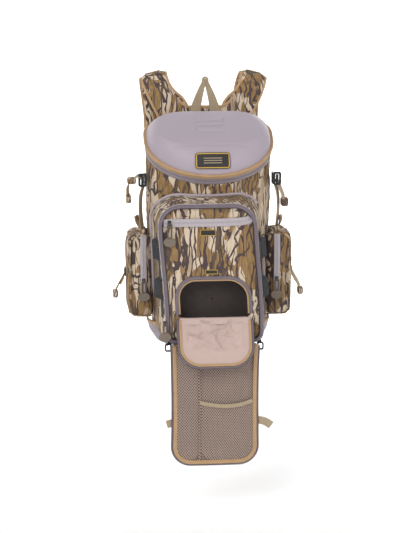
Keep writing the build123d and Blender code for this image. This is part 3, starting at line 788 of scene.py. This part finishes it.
def organizer_face(count=220):
    """The printed face, from the pocket's mouth out to the track."""
    outer = rounded(94.5, 44.5, 321.5, 41, 14, count)
    inner = mouth_ring(1.0, count)
    turn = np.arctan2(outer[:, 1] - 150, outer[:, 0])
    around = np.arctan2(inner[:, 1] - 125, inner[:, 0])
    order = np.argsort(around)
    around, inner = around[order], inner[order]
    matched = np.stack([np.interp(turn, around, inner[:, k], period=2 * np.pi) for k in (0, 1)], axis=1)
    rings = 30
    shares = np.linspace(0, 1, rings)[:, None, None]
    flat = matched[None] * (1 - shares) + outer[None] * shares
    stand = face_relief(flat[..., 0], flat[..., 1]) * np.minimum(1, 5 * (1 - shares[..., 0]))
    stand = stand * np.minimum(1, 0.25 + 5 * shares[..., 0])
    face = np.stack([flat[..., 0], FACE_DEPTH - stand, flat[..., 1]], axis=2)
    back = face[::-1] + np.array([0, 2.6, 0])
    obj = surface("organizer_cloth", lean(np.concatenate([face, back])), [camo, painted_shade_lining], True, True,
                  row_material=[0] * rings + [1] * rings, cad="organizer_face")
    # The seam is a thin cord in the near-black lining colour, painted shade.
    edge_strip("organizer_seam", rounded(93.2, 45.8, 320.2, 40, 13, count), -56.4, round_section(1.5), painted_shade_lining,
               lean, slot="binding_tape")


def bino_pocket(count=220):
    """The pocket's lining, and the zipper and binding over its mouth."""
    walls = []
    for depth, grow in ((-55, -0.5), (-51, 2), (-44, 5), (-20, 5), (-12, 4), (-10, -8)):
        low, high = (92 - grow, 173 + grow) if depth <= -51 else (66, 181)
        walls.append(facing(rounded(75 + grow, low, high, 38, 12, count), depth))
    centre = walls[-1].mean(axis=0)
    walls += [walls[-1] * s + centre * (1 - s) for s in (0.6, 0.3, 0.02)]
    # The pocket's inside is drawn near black: painted shade.
    surface("bino_pocket_lining", lean(np.array(walls)), [painted_shade_lining], close_v=True, cad="bino_liner")
    for name, grow, depth, section, material, cad in (
        ("mouth_zipper", 1.5, -56.3, zipper_section(7, 1.6), mauve_zip, "bino_zipper"),
        ("mouth_binding", -3.2, -54.6, flat_section(4.5, 2.2), binding, None),
    ):
        ring = mouth_ring(grow, count)
        edge_strip(name, ring, depth, section, material, lean, np.where(ring[:, 1] > 97)[0], cad=cad)


def organizer():
    organizer_face()
    bino_pocket()
    line = [(-90, -57.2, 290), (-60, -57.6, 290.3), (0, -58, 290), (60, -57.6, 290.6), (84, -57.2, 293.5),
            (89, -57, 299)]
    front_strip("organizer_zipper_tape", lean(smooth_path(line, 90)), zipper_section(16.5, 1.6), pale_zip,
                cad="organizer_zipper")
    for name, height, wide, tall, cad in (
        ("label_upper", 269, 16.5, 6.8, "pocket_labels"),
        ("label_lower", 187, 13.5, 5.2, None),
    ):
        outline = rounded(wide, height - tall, height + tall, 1.5, 1.5, 80)
        sheet_panel(name, outline, lambda x, h, ring: 56.3 + 0 * x, 1.2, [patch_black], lean, 6, cad=cad)
        outline = rounded(wide - 1, height - tall + 1, height + tall - 1, 1, 1, 80)
        edge_strip(name + "_border", outline, -56.6, flat_section(1.3, 0.9), patch_gold, lean)


# ---- Lid ----
LID_NORMAL = np.array([0, -math.sin(SLOPE), math.cos(SLOPE)])
LID_ALONG = np.array([0, math.cos(SLOPE), math.sin(SLOPE)])
RIGHT = np.array([1, 0, 0])


def lid_point(flat, lift):
    """Points on the lid's sloping plane, lifted along its normal."""
    x, along = flat[..., 0], flat[..., 1]
    depth = -lift * math.sin(SLOPE) + along * math.cos(SLOPE)
    height = MOUTH_HEIGHT + lift * math.cos(SLOPE) + along * math.sin(SLOPE)
    return np.stack([x, depth, height], axis=-1)


def lid_ring(grow, count=240):
    """The mouth's outline on the lid's plane."""
    stretch = 1 / math.cos(SLOPE)
    return bag_outline(132 + grow, -grow, WAIST * stretch, 150 * stretch + grow, BACK_CORNER + grow, count)


def lid_bands():
    """The bands that run around the bag's mouth."""
    for name, grow, lift, section, material, body, cad in (
        ("lid_band_lower", -0.5, 3.9, flat_section(7.8, 4, crown=0.3), lid_zip, "pack", "lid_zipper_lower"),
        ("lid_band_upper", -0.5, 12.1, flat_section(7.6, 4, crown=0.3), lid_zip, "lid", "lid_zipper_upper"),
        ("lid_coil", 1.2, 8.9, round_section(1.2), mauve_zip, "lid", None),
        ("lid_binding_tape", 0.6, 20.4, flat_section(9.6, 6.4, crown=0.5), binding, "lid", "lid_binding"),
        ("lid_binding_roll", 3.2, 24.0, round_section(1.9), binding, "lid", None),
    ):
        ring = lid_ring(grow)
        flat = outward(ring)
        path = lid_point(ring, np.full(len(ring), float(lift)))
        side = flat[:, :1] * RIGHT + flat[:, 1:] * LID_ALONG
        sweep(name, path, -LID_NORMAL, side, section, material, True, body=body, cad=cad)


def lid(count=240):
    lid_bands()
    base = lid_ring(-1, count)
    top = bag_outline(109, 46, 99, 160, 60, count)
    rows, lifts = [], []
    for share in np.linspace(0, 1, 26):
        angle = share * np.pi / 2
        rows.append(base + (top - base) * (0.38 * share + 0.62 * (1 - math.cos(angle))))
        lifts.append(np.full(count, 23 + 41 * (0.3 * share + 0.7 * math.sin(angle))))
    middle = np.array([0, 105.0])
    for share in np.linspace(0.985, 0.01, 74):
        rows.append(middle + (top - middle) * share)
        lifts.append(np.full(count, 64 + 3.2 * (1 - share ** 2)))
    rows, lifts = np.array(rows), np.array(lifts)
    across, along = np.abs(rows[..., 0]), rows[..., 1]
    bars = [smoothstep((5.5 - np.abs(along - 112 - place)) / 2) for place in (-16, 0, 16)]
    lifts = lifts + 2.8 * np.max(bars, axis=0) * smoothstep((30 - across) / 3)
    lifts = lifts - 0.9 * np.exp(-((along - 50) / 3) ** 2) * smoothstep((95 - across) / 20)
    outer = lid_point(rows, lifts)
    inner = lid_point(rows[::-1] * 0.975 + np.array([0, 90]) * 0.025, lifts[::-1] - 3.5)
    surface("lid_shell_foam", np.concatenate([outer, inner]), [shell, painted_shade_lining], True, True,
            row_material=[0] * len(outer) + [1] * len(inner), body="lid", cad="lid_shell")
    lid_badge()


def lid_badge():
    """A plain rectangular patch on the lid's front slope."""
    angle = math.atan2(41, 47)
    up = LID_ALONG * math.cos(angle) + LID_NORMAL * math.sin(angle)
    out = LID_NORMAL * math.cos(angle) - LID_ALONG * math.sin(angle)
    origin = lid_point(np.array([0.0, 1.0]), 25.0) + up * 28 + out * 9.3

    def bend(points):
        points = np.array(points, float)
        stand = -points[..., 1:2] - points[..., :1] ** 2 * 0.0021 - points[..., 2:] ** 2 * 0.007
        return origin + points[..., :1] * RIGHT + points[..., 2:] * up + stand * out

    sheet_panel("lid_patch", rounded(36, -17, 17, 6, 6, 120), lambda x, h, ring: 0.8 + 0 * x, 2.6, [patch_black],
                bend, 14, body="lid", cad="lid_badge")
    border = rounded(33.6, -14.6, 14.6, 4, 4, 120)
    side = outward(border)
    side = side[:, :1] * RIGHT + side[:, 1:] * up
    sweep("lid_patch_border", bend(facing(border, -0.9)), side, out, flat_section(2.0, 1.2), patch_gold, True,
          body="lid")
    for number, height in enumerate((-5, 0, 5)):
        line = [(x, -0.9, height) for x in np.linspace(-19, 19, 30)]
        sweep("lid_patch_bar_%d" % number, bend(line), up, out, flat_section(1.8, 1.0), khaki, body="lid", slot="label")


# ---- Cover ----
def cover_shape(points):
    """Curls the hanging cover's sides back and lets it bow a little."""
    points = np.array(points, float)
    drop = np.clip((38 - points[..., 2]) / 260, 0, 1)
    points[..., 1] += 3.2 * (points[..., 0] / 92) ** 2 * smoothstep(drop * 4)
    points[..., 1] += 1.6 * np.sin(drop * np.pi * 2.3) * smoothstep(drop * 5)
    points[..., 0] *= 1 - 0.025 * np.sin(np.pi * drop)
    return points


def cover(count=200):
    def front_relief(x, height, ring):
        return 69.5 + (wobble(on_front(x, height), 60, 12.0) + 0.4) * 1.2 * (1 - ring ** 4)

    def pocket_relief(x, height, ring):
        return 71.6 + (1 - ring ** 5) * (1.6 + 1.2 * wobble(on_front(x, height), 50, 15.0))

    sheet = sheet_panel("cover_cloth", rounded(88.5, -220, 38, 5, 38, count), front_relief, 3.4, [mesh_cloth, camo],
                        cover_shape, 34, body="cover", cad="cover_panel", slot="camo_fabric")
    low = rounded(57, -213, -88, 3, 30, count) + np.array([25.0, 0])
    top = low[:, 1] > -95
    low[top, 1] -= 6 * np.cos((low[top, 0] - 25) / 57 * np.pi / 2)
    tall = rounded(24, -213, 26, 3, 24, count) + np.array([-57.5, 0])
    for name, outline, cad in (("low", low, "cover_mesh"), ("tall", tall, None)):
        sheet_panel("mesh_pocket_" + name, outline, pocket_relief, 1.2, [mesh_cloth], cover_shape, 24, body="cover",
                    cad=cad)
    seam = cover_shape([(-33 + 0.6 * math.sin(h / 20), -73.4, h) for h in np.linspace(27, -212, 120)])
    sweep("mesh_pocket_seam", seam, RIGHT, FORWARD, flat_section(4.0, 1.2), mesh_cloth, body="cover")
    line = [(-33, -74.2, -86), (-12, -75.2, -91), (24, -76.2, -95), (56, -75.2, -92), (80, -73.6, -84.5)]
    front_strip("mesh_pocket_hem", cover_shape(smooth_path(line, 70)), flat_section(8.5, 2.0), khaki, body="cover",
                cad="cover_hem", slot="binding_tape")

    for name, inset, depth, section, material, cad in (
        ("cover_binding_tape", 6, -72.0, flat_section(8.4, 4.2, crown=0.6), binding, "cover_binding"),
        ("cover_zipper_tape", 0, -69.2, zipper_section(5.4, 2.0, 0.8), mauve_zip, "cover_tape"),
    ):
        edge = rounded(90.6 - inset, -222.2 + inset, 44, 4, 40.2 - inset, count)
        edge_strip(name, edge, depth, section, material, cover_shape, below(edge, 37), body="cover", cad=cad)
    line = [(74, -65, -128), (94, -64.6, -129), (107, -64.8, -133), (118, -66.5, -141)]
    ribbon("cover_tab_right", line, (0.25, 0, 1), 17, 1.8, khaki, 40, body="cover", cad="cover_tabs")
    line = [(-60, -65, -131), (-84, -64.8, -131), (-94, -64.6, -132), (-101, -65, -134)]
    ribbon("cover_tab_left", line, (0.1, 0, 1), 17, 1.8, khaki, 40, body="cover")


# ---- Binocular flap ----
FLAP_LEAN = math.radians(25)
FLAP_FOLD = np.array([0, -60.0, 92.0])


def flap_place(points):
    """Sets a flap drawn hanging (x, forward stand, distance below the fold) on its leaning plane."""
    points = np.array(points, float)
    along = np.array([0, -math.sin(FLAP_LEAN), -math.cos(FLAP_LEAN)])
    face = np.array([0, -math.cos(FLAP_LEAN), math.sin(FLAP_LEAN)])
    return FLAP_FOLD + points[..., :1] * RIGHT - points[..., 2:] * along - points[..., 1:2] * face


def flap_relief(x, height, ring):
    """Soft folds that run from the flap's fold and corners."""
    points = on_front(x, height)
    wave_line = 8 * wobble(points, 45, 25.0)
    folds = 2.6 * (1 - np.minimum(1, np.abs(wobble(points, 34, 40.0)) * 6))
    for rise, width, line in (
        (3.6, 7, (x + 22) + 0.55 * (height + 10) + wave_line),
        (3.0, 6, (x - 34) - 0.45 * (height + 10) + wave_line),
        (-3.0, 9, (x - 4) + 0.2 * height - wave_line),
        (3.2, 6, height + 66 + 0.45 * x + wave_line),
        (2.2, 6, height + 34 - 0.3 * x - wave_line),
    ):
        folds = folds + rise * np.exp(-(line / width) ** 2)
    folds = folds + 3.6 * wobble(points, 22, 21.0) + 1.8 * wobble(points, 11, 2.0)
    room = smoothstep(np.minimum(68 - np.abs(x), 75 + height) / 14)
    return 0.2 + 1.35 * folds * room * (1 - ring ** 6)


def flap(count=200):
    sheet = sheet_panel("flap_cloth", rounded(74, -102, -4, 4, 42, count), flap_relief, 2.0, [lining, camo],
                        flap_place, 64, body="bino_flap", cad="flap_panel")
    edge = rounded(71.8, -99.8, 8, 4, 39.8, count)
    part = below(edge, -5)
    lift = flap_place(FORWARD) - FLAP_FOLD
    for name, ring, stand, section, material, cad in (
        ("flap_binding_tape", edge, 1.0, flat_section(5.6, 2.2, crown=0.6), binding, "flap_binding"),
        ("flap_zipper_tape", rounded(77, -105, 8, 4, 45, count), 0.2, zipper_section(5.6, 1.8, 0.8), mauve_zip,
         "flap_tape"),
    ):
        side = flap_place(facing(outward(ring), 0)[part]) - FLAP_FOLD
        sweep(name, flap_place(facing(ring, -stand)[part]), side, lift, section, material, body="bino_flap", cad=cad)
    flap_fold()


def flap_fold():
    """The lining's bend from the pocket's lip to the flap."""
    x = np.linspace(-73, 73, 60)
    face = []
    for depth, height in smooth_path([(-50, 86), (-55, 90.5), (-59.5, 92), (-62, 90), (-64.5, 84), (-66.5, 79)], 14):
        face.append(np.stack([x, depth - 0.4 * np.sin(x / 9), height + 0 * x], axis=1))
    back = np.array(face[::-1]) + np.array([0, 0.9, -0.9])
    obj = surface("flap_fold_cloth", np.concatenate([face, back]), [lining], True, body=None)
    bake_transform(obj)


# ---- Side pockets, boots, ladders ----
def sides():
    for name, turn in SIDES:
        first = turn > 0
        puffed("side_pocket_" + name, "side_pocket_" + name + "_cloth", camo_second if first else camo, 5.0, 0.985,
               1.4, pressure=3.0)
        line = [(141, 39.8, 108), (141, 38.8, 150), (141.5, 38.6, 205), (141, 39.8, 246)]
        path = smooth_path(line, 70) * np.array([turn, 1, 1])
        sweep("side_zipper_" + name, path, RIGHT, FORWARD, zipper_section(13, 1.8), pale_zip,
              cad="side_zippers" if first else None)
        ring = rounded(33, 73, 245, 15, 15, 160) + np.array([turn * 135.5, 0])
        edge_strip("side_seam_" + name, ring, 42.5, round_section(1.5), bark_web, slot="camo_fabric")
        ring = rounded(32, 75, 243, 14, 14, 160)
        out = outward(ring)
        path = np.stack([np.full(160, turn * 170.0), 89 + ring[:, 0] * 1.32, ring[:, 1]], axis=1)
        side = np.stack([np.zeros(160), out[:, 0], out[:, 1]], axis=1)
        sweep("side_edge_" + name, path, side, RIGHT * turn, round_section(1.5), bark_web, True, slot="camo_fabric")
        boot(name, turn)
        ladder(name, turn)


BOOT_HEIGHTS = [4, 12, 34, 52, 60]
BOOT_WIDTHS = [96, 113, 127, 131, 132]
BOOT_FRONTS = [20, 2, -9, -12, -12]


def boot(name, turn):
    """A coated cloth cup around the base's corner, open at its top."""
    rows = []
    for height in np.linspace(4, 54, 22):
        width = np.interp(height, BOOT_HEIGHTS, BOOT_WIDTHS)
        reach = WAIST - np.interp(height, BOOT_HEIGHTS, BOOT_FRONTS)
        row = []
        for turned in np.pi * np.linspace(-0.62, 0.13, 50):
            if turned < -np.pi / 2:
                continue
            across = math.cos(turned) if turned < 0 else 1
            row.append((turn * width * across, WAIST + min(math.sin(turned) * reach, 14), height))
        rows.append(resample(row, 60))
    rows = np.array(rows)
    rows = rows[:, np.abs(rows[-1, :, 0]) > 88]
    rows[..., 0] += turn * 1.2 * wobble(rows, 28, 14.0)
    inner = rows[::-1] + np.array([-turn * 2.0, 1.0, 0])
    obj = surface("boot_cloth_" + name, np.concatenate([rows, inner]), [coated], True, cad="boot_pocket_" + name)
    rim = rows[-1] + np.array([-turn * 1.0, 0.5, 1.0])
    side = unit(np.cross(tangents(rim, False), UP))
    sweep("boot_binding_" + name, rim, UP, side, flat_section(8, 4.0, crown=0.6), binding,
          cad="boot_bindings" if turn > 0 else None)


def ladder(name, turn):
    """Lash webbing sewn flat between two loops that stand open towards the front."""
    base_x = 99 + 34 * FLARE
    heights = np.linspace(86, 264, 160)
    loops = sum(smoothstep((25 - np.abs(heights - middle)) / 7) for middle in (230, 147))
    path = [(turn * (base_x + 1.6 + 5.5 * s), -26 - 3 * s, h) for h, s in zip(heights, loops)]
    lift = unit([(turn, -FLARE - 0.75 * s, 0) for s in loops])
    sweep("lash_ladder_" + name, lean(path, 0.75), unit(np.cross(lift, UP)), lift, flat_section(20, 1.8), dark_web,
          cad="lash_ladders" if turn > 0 else None)


# ---- Compression straps ----
def rolled_keeper(name, centre, size, material):
    """A folded and sewn end of webbing: a flattened roll."""
    across, up = squared(28, 0.5, 0.5)
    ring = np.stack([across * size[0] / 2, up * size[2] / 2], axis=1)
    rows = []
    for share in np.linspace(-1, 1, 14):
        edge = (1 - abs(share) ** 6) ** 0.3 if abs(share) < 1 else 0.72
        rows.append([(centre[0] + x * edge, centre[1] + share * size[1] / 2, centre[2] + z * edge) for x, z in ring])
    surface(name, rows, [material], close_v=True, caps=True)


def straps():
    for name, turn in SIDES:
        line = [(139, 62, 349), (145, 62, 330), (146, 62, 300), (144, 62, 272), (141, 62, 255)]
        pair_ribbon("upper_webbing", turn, line, (0.45, 1, 0), 20, 2.2, khaki, "upper_webbing")
        rolled_keeper("upper_anchor_" + name, (turn * 141.5, 60, 254), (13, 24, 11), bark_web)
        ring = rounded(6.5, 350, 374, 3, 3, 60) + np.array([turn * 141.5, 0])
        edge_strip("ladder_lock_frame_" + name, ring, 52, flat_section(5, 5, crown=0.6), black)
        line = [(141.5, 52, 353), (141.5, 51, 362), (141.5, 52, 371)]
        pair_ribbon("ladder_lock_bar", turn, line, (1, 0, 0), 6, 4, black, count=16)
        rolled_keeper("lower_anchor_" + name, (turn * 176, 92, 160), (9, 25, 18), black)
        line = [(178, 92, 158), (184, 92, 147), (191, 92, 135), (197, 92, 122)]
        pair_ribbon("lower_webbing", turn, line, (0.4, 1, 0.2), 16, 2.4, khaki, "lower_straps")
        rolled_keeper("lower_end_" + name, (turn * 199, 92, 112), (12, 21, 17), bark_web)
        ring = rounded(8, 133, 149, 5, 5, 48)
        path = np.stack([turn * (184.5 + (141 - ring[:, 1]) * 0.5), 92 + ring[:, 0] * 1.3, ring[:, 1]], axis=1)
        along = tangents(path, True)
        side = unit(np.cross(along, np.array([turn, 0, 0.5])))
        sweep("lower_ring_" + name, path, side, unit(np.cross(along, side)), round_section(1.4), binding, True,
              slot="webbing")
    slanted = (0.4, 1, 0.3)
    line = [(-155, 60, 286), (-152.5, 60, 274), (-145, 60, 263), (-137, 60, 253)]
    ribbon("upper_loop_left", line, slanted, 19, 4.6, bark_web, 40)
    line = [(149, 60, 282), (151.5, 60, 272), (148, 60, 262), (142, 60, 255)]
    ribbon("upper_loop_right", line, slanted, 19, 4.2, bark_web, 40)
    line = [(-140, 60, 366), (-147, 58, 371), (-154, 57, 369), (-160, 57, 364)]
    ribbon("upper_tail_left", line, slanted, 18, 3, khaki, cad="upper_tails")
    rolled_keeper("upper_keeper_left", (-164, 57, 361), (19, 24, 14), bark_web)
    line = [(-168, 57, 357), (-173, 57, 347), (-172, 57, 332)]
    ribbon("upper_tail_left_end", line, slanted, 16, 2.6, khaki)
    rolled_keeper("upper_end_left", (-171, 57, 323), (12, 21, 19), bark_web)
    line = [(140, 60, 360), (146, 58, 349), (152, 57, 335), (156, 57, 322)]
    ribbon("upper_tail_right", line, slanted, 18, 3, khaki)
    rolled_keeper("upper_keeper_right", (158, 57, 312), (16, 24, 19), bark_web)


# ---- Harness ----
STRAP_STATIONS = np.array([     # x, depth, height, width, thickness, tilt in degrees
    (62, 172, 468, 66, 7, 0),
    (70, 172, 496, 72, 9, 2),
    (86, 174, 515, 60, 10, 8),
    (98, 177, 535, 55, 12, 12),
    (106, 188, 555, 56, 12, 14),
    (109, 204, 568, 58, 12, 15),
    (109, 222, 561, 59, 12, 12),
    (106, 237, 537, 58, 13, 8),
    (101, 244, 500, 57, 14, 4),
    (97, 247, 456, 56, 14, 0),
    (96, 247, 400, 55, 14, 0),
    (96, 243, 340, 52, 13, 0),
    (97, 237, 283, 44, 10, 0),
], float)
LOOP_STATION = 84
LIFTER = slice(38, 74)


def shoulder_strap(name, turn):
    """A padded strap with a crowned face and a bound edge along each side."""
    stations = STRAP_STATIONS.copy()
    if turn > 0:
        stations[6:10, 0] -= np.array([3, 6, 6, 3])
    stations = smooth_path(stations, 130, 3)
    path = stations[:, :3] * np.array([turn, 1, 1])
    along = tangents(path, False)
    tilt = np.radians(stations[:, 5])
    across = np.stack([np.cos(tilt) * turn, np.zeros(len(tilt)), -np.sin(tilt)], axis=1)
    across = unit(across - along * np.sum(across * along, axis=1, keepdims=True))
    out = unit(np.cross(along, across)) * -turn
    half = stations[:, 3] / 2 - 2
    thick = stations[:, 4]
    spread = np.linspace(-1, 1, 25)
    crown = (1 - np.abs(spread) ** 3.2) ** 0.8
    flat = path[:, None] + across[:, None] * (half[:, None] * spread)[..., None]
    faces = []
    for face in (1, -1):
        rise = (1.0 + (thick[:, None] / 2 - 1.0) * crown[None]) * face
        rise = rise + 0.5 * face * wobble(flat, 26, 7.0 + face) * crown
        faces.append((flat + out[:, None] * rise[..., None])[:, ::face])
    obj = surface("shoulder_strap_cloth_" + name, np.concatenate(faces, axis=1), [camo if turn < 0 else camo_second],
                  close_v=True, caps=True, cad="shoulder_strap_" + name)
    for side_name, sign in (("inner", -1), ("outer", 1)):
        sweep("strap_binding_" + side_name + "_" + name, path + across * (half * sign)[:, None], across, out,
              flat_section(6.5, 4.4, crown=0.7), binding)
    at = LOOP_STATION
    wide, lift = squared(48, 0.35, 0.5)
    ring = wide[:, None] * across[at] * (half[at] + 3.5) + lift[:, None] * out[at] * (thick[at] / 2 + 1.8)
    height = np.linspace(-11, 11, 8)[:, None, None] * along[at]
    wrap = surface("strap_loop_" + name, path[at] + ring[None] + height, [khaki], close_v=True, body=None)
    wrap.modifiers.new("thicken", "SOLIDIFY").thickness = 0.0016
    place_piece(finished(wrap))
    lifted = path[LIFTER] + out[LIFTER] * (thick[LIFTER, None] / 2 + 1.2)
    sweep("load_lifter_" + name, lifted, across[LIFTER], out[LIFTER], flat_section(34, 2.0), khaki)


def haul_loop():
    """Webbing that rises from both sides of the yoke to the fold that the pack hangs from."""
    for name, turn in SIDES:
        line = [(22, 0.5, 458), (21.5, 0.5, 492), (15.5, 0.7, 518), (5, 0.9, 548), (1.0, 0.9, 561)]
        path = smooth_path([(turn * x, 166.4 + turn * apart, height) for x, apart, height in line], 60)
        width = np.interp(path[:, 2], [458, 500, 540, 561], [25, 22, 13, 7])
        side = unit(np.cross(tangents(path, False), FORWARD))
        section = flat_section(1.0, 1.0)
        grid = path[:, None] + side[:, None] * section[None, :, :1] * width[:, None, None]
        surface("haul_loop_" + name, grid + FORWARD * section[None, :, 1:] * 2.2, [khaki], close_v=True,
                columns_uv=section[:, 0] * 25, caps=True, cad="haul_handle" if turn > 0 else None)
    line = [(-6, 166.2, 556), (-4, 166.2, 563), (0, 166.2, 564.5), (4, 166.2, 563), (6, 166.2, 556)]
    front_strip("haul_loop_fold", smooth_path(line, 30), flat_section(5, 3), khaki)


def harness():
    for name, turn in SIDES:
        shoulder_strap(name, turn)
        line = [(97, 240, 246), (97, 238, 205), (97, 215, 172), (97, 184, 154), (97, 170.5, 149)]
        pair_ribbon("strap_webbing", turn, line, (1, 0, 0), 25, 1.8, khaki, "strap_webbing")
        line = [(97, 237.5, 298), (97, 237.2, 280), (97, 236.6, 266), (97, 236.2, 256)]
        pair_ribbon("strap_tongue", turn, line, (1, 0, 0), 25, 3.4, khaki)
        line = [(97, 243, 262), (97, 245.5, 240), (98, 244, 214), (99, 243, 196)]
        pair_ribbon("strap_tail", turn, line, (1, 0, 0), 24, 1.8, khaki)
        puffed("hip_wing_" + name, "hip_wing_" + name + "_cloth", camo_second, 4.0, 0.99, 0.8)
        line = [(63, 270, 108), (50, 273.8, 108), (32, 274, 108)]
        pair_ribbon("belt_webbing", turn, line, (0, 0, 1), 38, 2.0, khaki, "belt_webbing")
        line = [(22, 257.4, 456), (70, 257.4, 456), (118, 257.2, 456), (127, 254, 456)]
        pair_ribbon("sternum_webbing", turn, line, (0, 0, 1), 20, 1.8, khaki, "sternum_webbing")
    yoke()
    for name, cap in (("back_pads", 3.5), ("lumbar_pad", 4.0), ("back_panel", 3.0)):
        puffed(name, name + "_mesh", air_mesh, cap, 0.985, 0.5, voxel=0.0055)
    haul_loop()


def yoke_top(x):
    """The yoke's U-shaped top edge."""
    return 501 + 34 * np.clip((np.abs(x) - 34) / 38, 0, 1) ** 1.7


def yoke_depth(z):
    """The depth of the yoke's face, which leans back near its top."""
    return 169.0 + 8 * np.clip((z - 505) / 30, 0, 1) ** 1.5


def yoke():
    """The yoke between the straps, with a bound U-shaped top."""
    wide = np.linspace(-1, 1, 101)
    shares = np.linspace(0, 1, 40)[:, None]
    z = 402 + (yoke_top(wide * 76) - 402) * shares
    face = np.stack([wide * (92 - 16 * shares), yoke_depth(z), z], axis=-1)
    edge = np.minimum(smoothstep((1 - np.abs(wide)) * 9)[None], smoothstep((1 - shares) * 7))
    back = face[::-1].copy()
    face[..., 1] -= 0.9 * edge * (1 + wobble(face, 30, 19.0))
    back[..., 1] += 3 + 3.2 * edge[::-1]
    obj = surface("shoulder_yoke_cloth", np.concatenate([face, back]), [camo], True, cad="shoulder_yoke")
    x = np.linspace(-70, 70, 90)
    z = yoke_top(x)
    path = np.stack([x, 1.5 + yoke_depth(z), z], axis=1)
    front_strip("yoke_binding", path, flat_section(6.5, 5.0, crown=0.7), binding)


# ---- Zipper sliders and pulls ----
def zipper_pull(name, x, tape_front, height, thick, reach):
    """A metal slider with its bridge, and a cord loop with a moulded oval tab."""
    slider, pull = name + "_slider", name + "_pull"
    sheet_panel(slider + "_body", rounded(3.9, height - 5.8, height + 5.8, 1.6, 2.6, 60) + np.array([x, 0]),
                lambda px, ph, ring: -tape_front + 2.4 + 0.5 * (1 - ring ** 3), 2.4, [dark_metal], None, 8,
                body=slider, cad=slider)
    near, far = tape_front - 1.8, tape_front - thick
    path = [(x, near, height - 4.5), (x, far + 0.6, height - 4), (x, far + 0.4, height + 3), (x, near, height + 4.5)]
    ribbon(slider + "_bridge", path, (1, 0, 0), 3.4, 1.5, dark_metal, 26, body=slider)

    depth = far - 1.4
    loop = rounded(3.7, height - reach + 2.3, height - 0.3, 3.6, 3.6, 90) + np.array([x, 0])
    edge_strip(pull + "_cord", loop, depth, round_section(1.5, 10), cord_cloth, body=pull)
    angles = np.linspace(0, 2 * np.pi, 72, endpoint=False)
    oval = np.stack([x + 12.8 * np.cos(angles), height - reach - 6 + 9.8 * np.sin(angles)], axis=1)

    def tab_relief(px, ph, ring):
        rim = np.exp(-((ring - 0.9) / 0.07) ** 2)
        ribs = 0.25 * np.cos((ph - height) * 2.1) * (np.abs(px - x) < 7) * (ring < 0.75)
        return -depth + 0.55 + 0.8 * rim + ribs - 0.3 * (ring > 0.97)

    sheet_panel(pull + "_tab", oval, tab_relief, 1.7, [tab_rubber], None, 22, body=pull, cad=pull)


def pulls():
    zipper_pull("organizer", -93, -57, 290, 6, 32)
    zipper_pull("side_left", -141, 40.4, 150, 4, 28)
    zipper_pull("side_right", 141, 40.4, 150, 4, 28)
    zipper_pull("cover", -103.5, -63.2, 82, 3.6, 22)


# ---- CAD nodes that stay ----
def carried_over():
    for name, material in (
        ("ladder_locks", black), ("sternum_buckle", black), ("belt_buckle", black), ("corner_rings", black),
        ("base_panel", coated), ("frame_sheet", sheet_plastic), ("frame_stays", bar_metal),
    ):
        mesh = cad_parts[name].data
        mesh.materials.clear()
        mesh.materials.append(material)


# ---- Camera, floor and light ----
def aimed(obj, place, direction):
    """Sets an object down so that it looks in a direction."""
    obj.location = place
    obj.rotation_mode = "QUATERNION"
    obj.rotation_quaternion = direction.to_track_quat("-Z", "Y")


def camera():
    turn, tilt, distance, view_height = math.radians(-5), math.radians(12), 3.5, 1.130
    back = Vector((math.sin(turn) * math.cos(tilt), -math.cos(turn) * math.cos(tilt), math.sin(tilt)))
    data = bpy.data.cameras.new("camera")
    data.sensor_width = 36
    data.lens = 36 * distance / view_height
    cam = link_copy("camera", data)
    aimed(cam, Vector(metres([-20.3, 60, 174.1])) + back * distance, -back)
    bpy.context.scene.camera = cam


def studio():
    material, tree, shade = shader("studio_floor", (0.93, 0.93, 0.93), 0.9)
    patches = times(tree, spots(tree, 3, detail=2), 0.05)
    paint(tree, shade, mix(tree, patches, (0.94, 0.94, 0.94), (0.9, 0.9, 0.9)))
    curve = smooth_path([(-7000, -330), (2500, -330), (4200, -330), (4300, 1600), (4300, 6000)], 60)
    rows = [[(-8000, depth, height), (8000, depth, height)] for depth, height in curve]
    surface("studio_backdrop", rows, [material], body=None)
    pack = metres([0, 40, 200])
    for name, place, aim, size, power in (
        ("key", (-1.3, -2.4, 1.2), pack, 1.5, 36),
        ("fill", (1.9, -2.0, 0.3), pack, 1.8, 14),
        ("rim", (0.6, 2.2, 1.2), pack, 1.2, 16),
        ("backdrop_left", (-2.2, 1.6, 1.0), (-0.3, 4.3, 0.2), 1.6, 90),
        ("backdrop_right", (2.2, 1.6, 1.0), (0.3, 4.3, 0.2), 1.6, 90),
    ):
        data = bpy.data.lights.new(name, "AREA")
        data.size = size
        data.energy = power
        aimed(link_copy(name, data), place, Vector(aim) - Vector(place))
    bpy.context.scene.view_settings.view_transform = "Standard"
    world = bpy.data.worlds.new("studio")
    world.use_nodes = True
    background = world.node_tree.nodes["Background"].inputs
    background[0].default_value = (1, 1, 1, 1)
    background[1].default_value = 0.62
    bpy.context.scene.world = world


camera()
studio()
main_bag()
front_compartment()
corner_tabs()
organizer()
lid()
cover()
flap()
sides()
straps()
harness()
pulls()
carried_over()
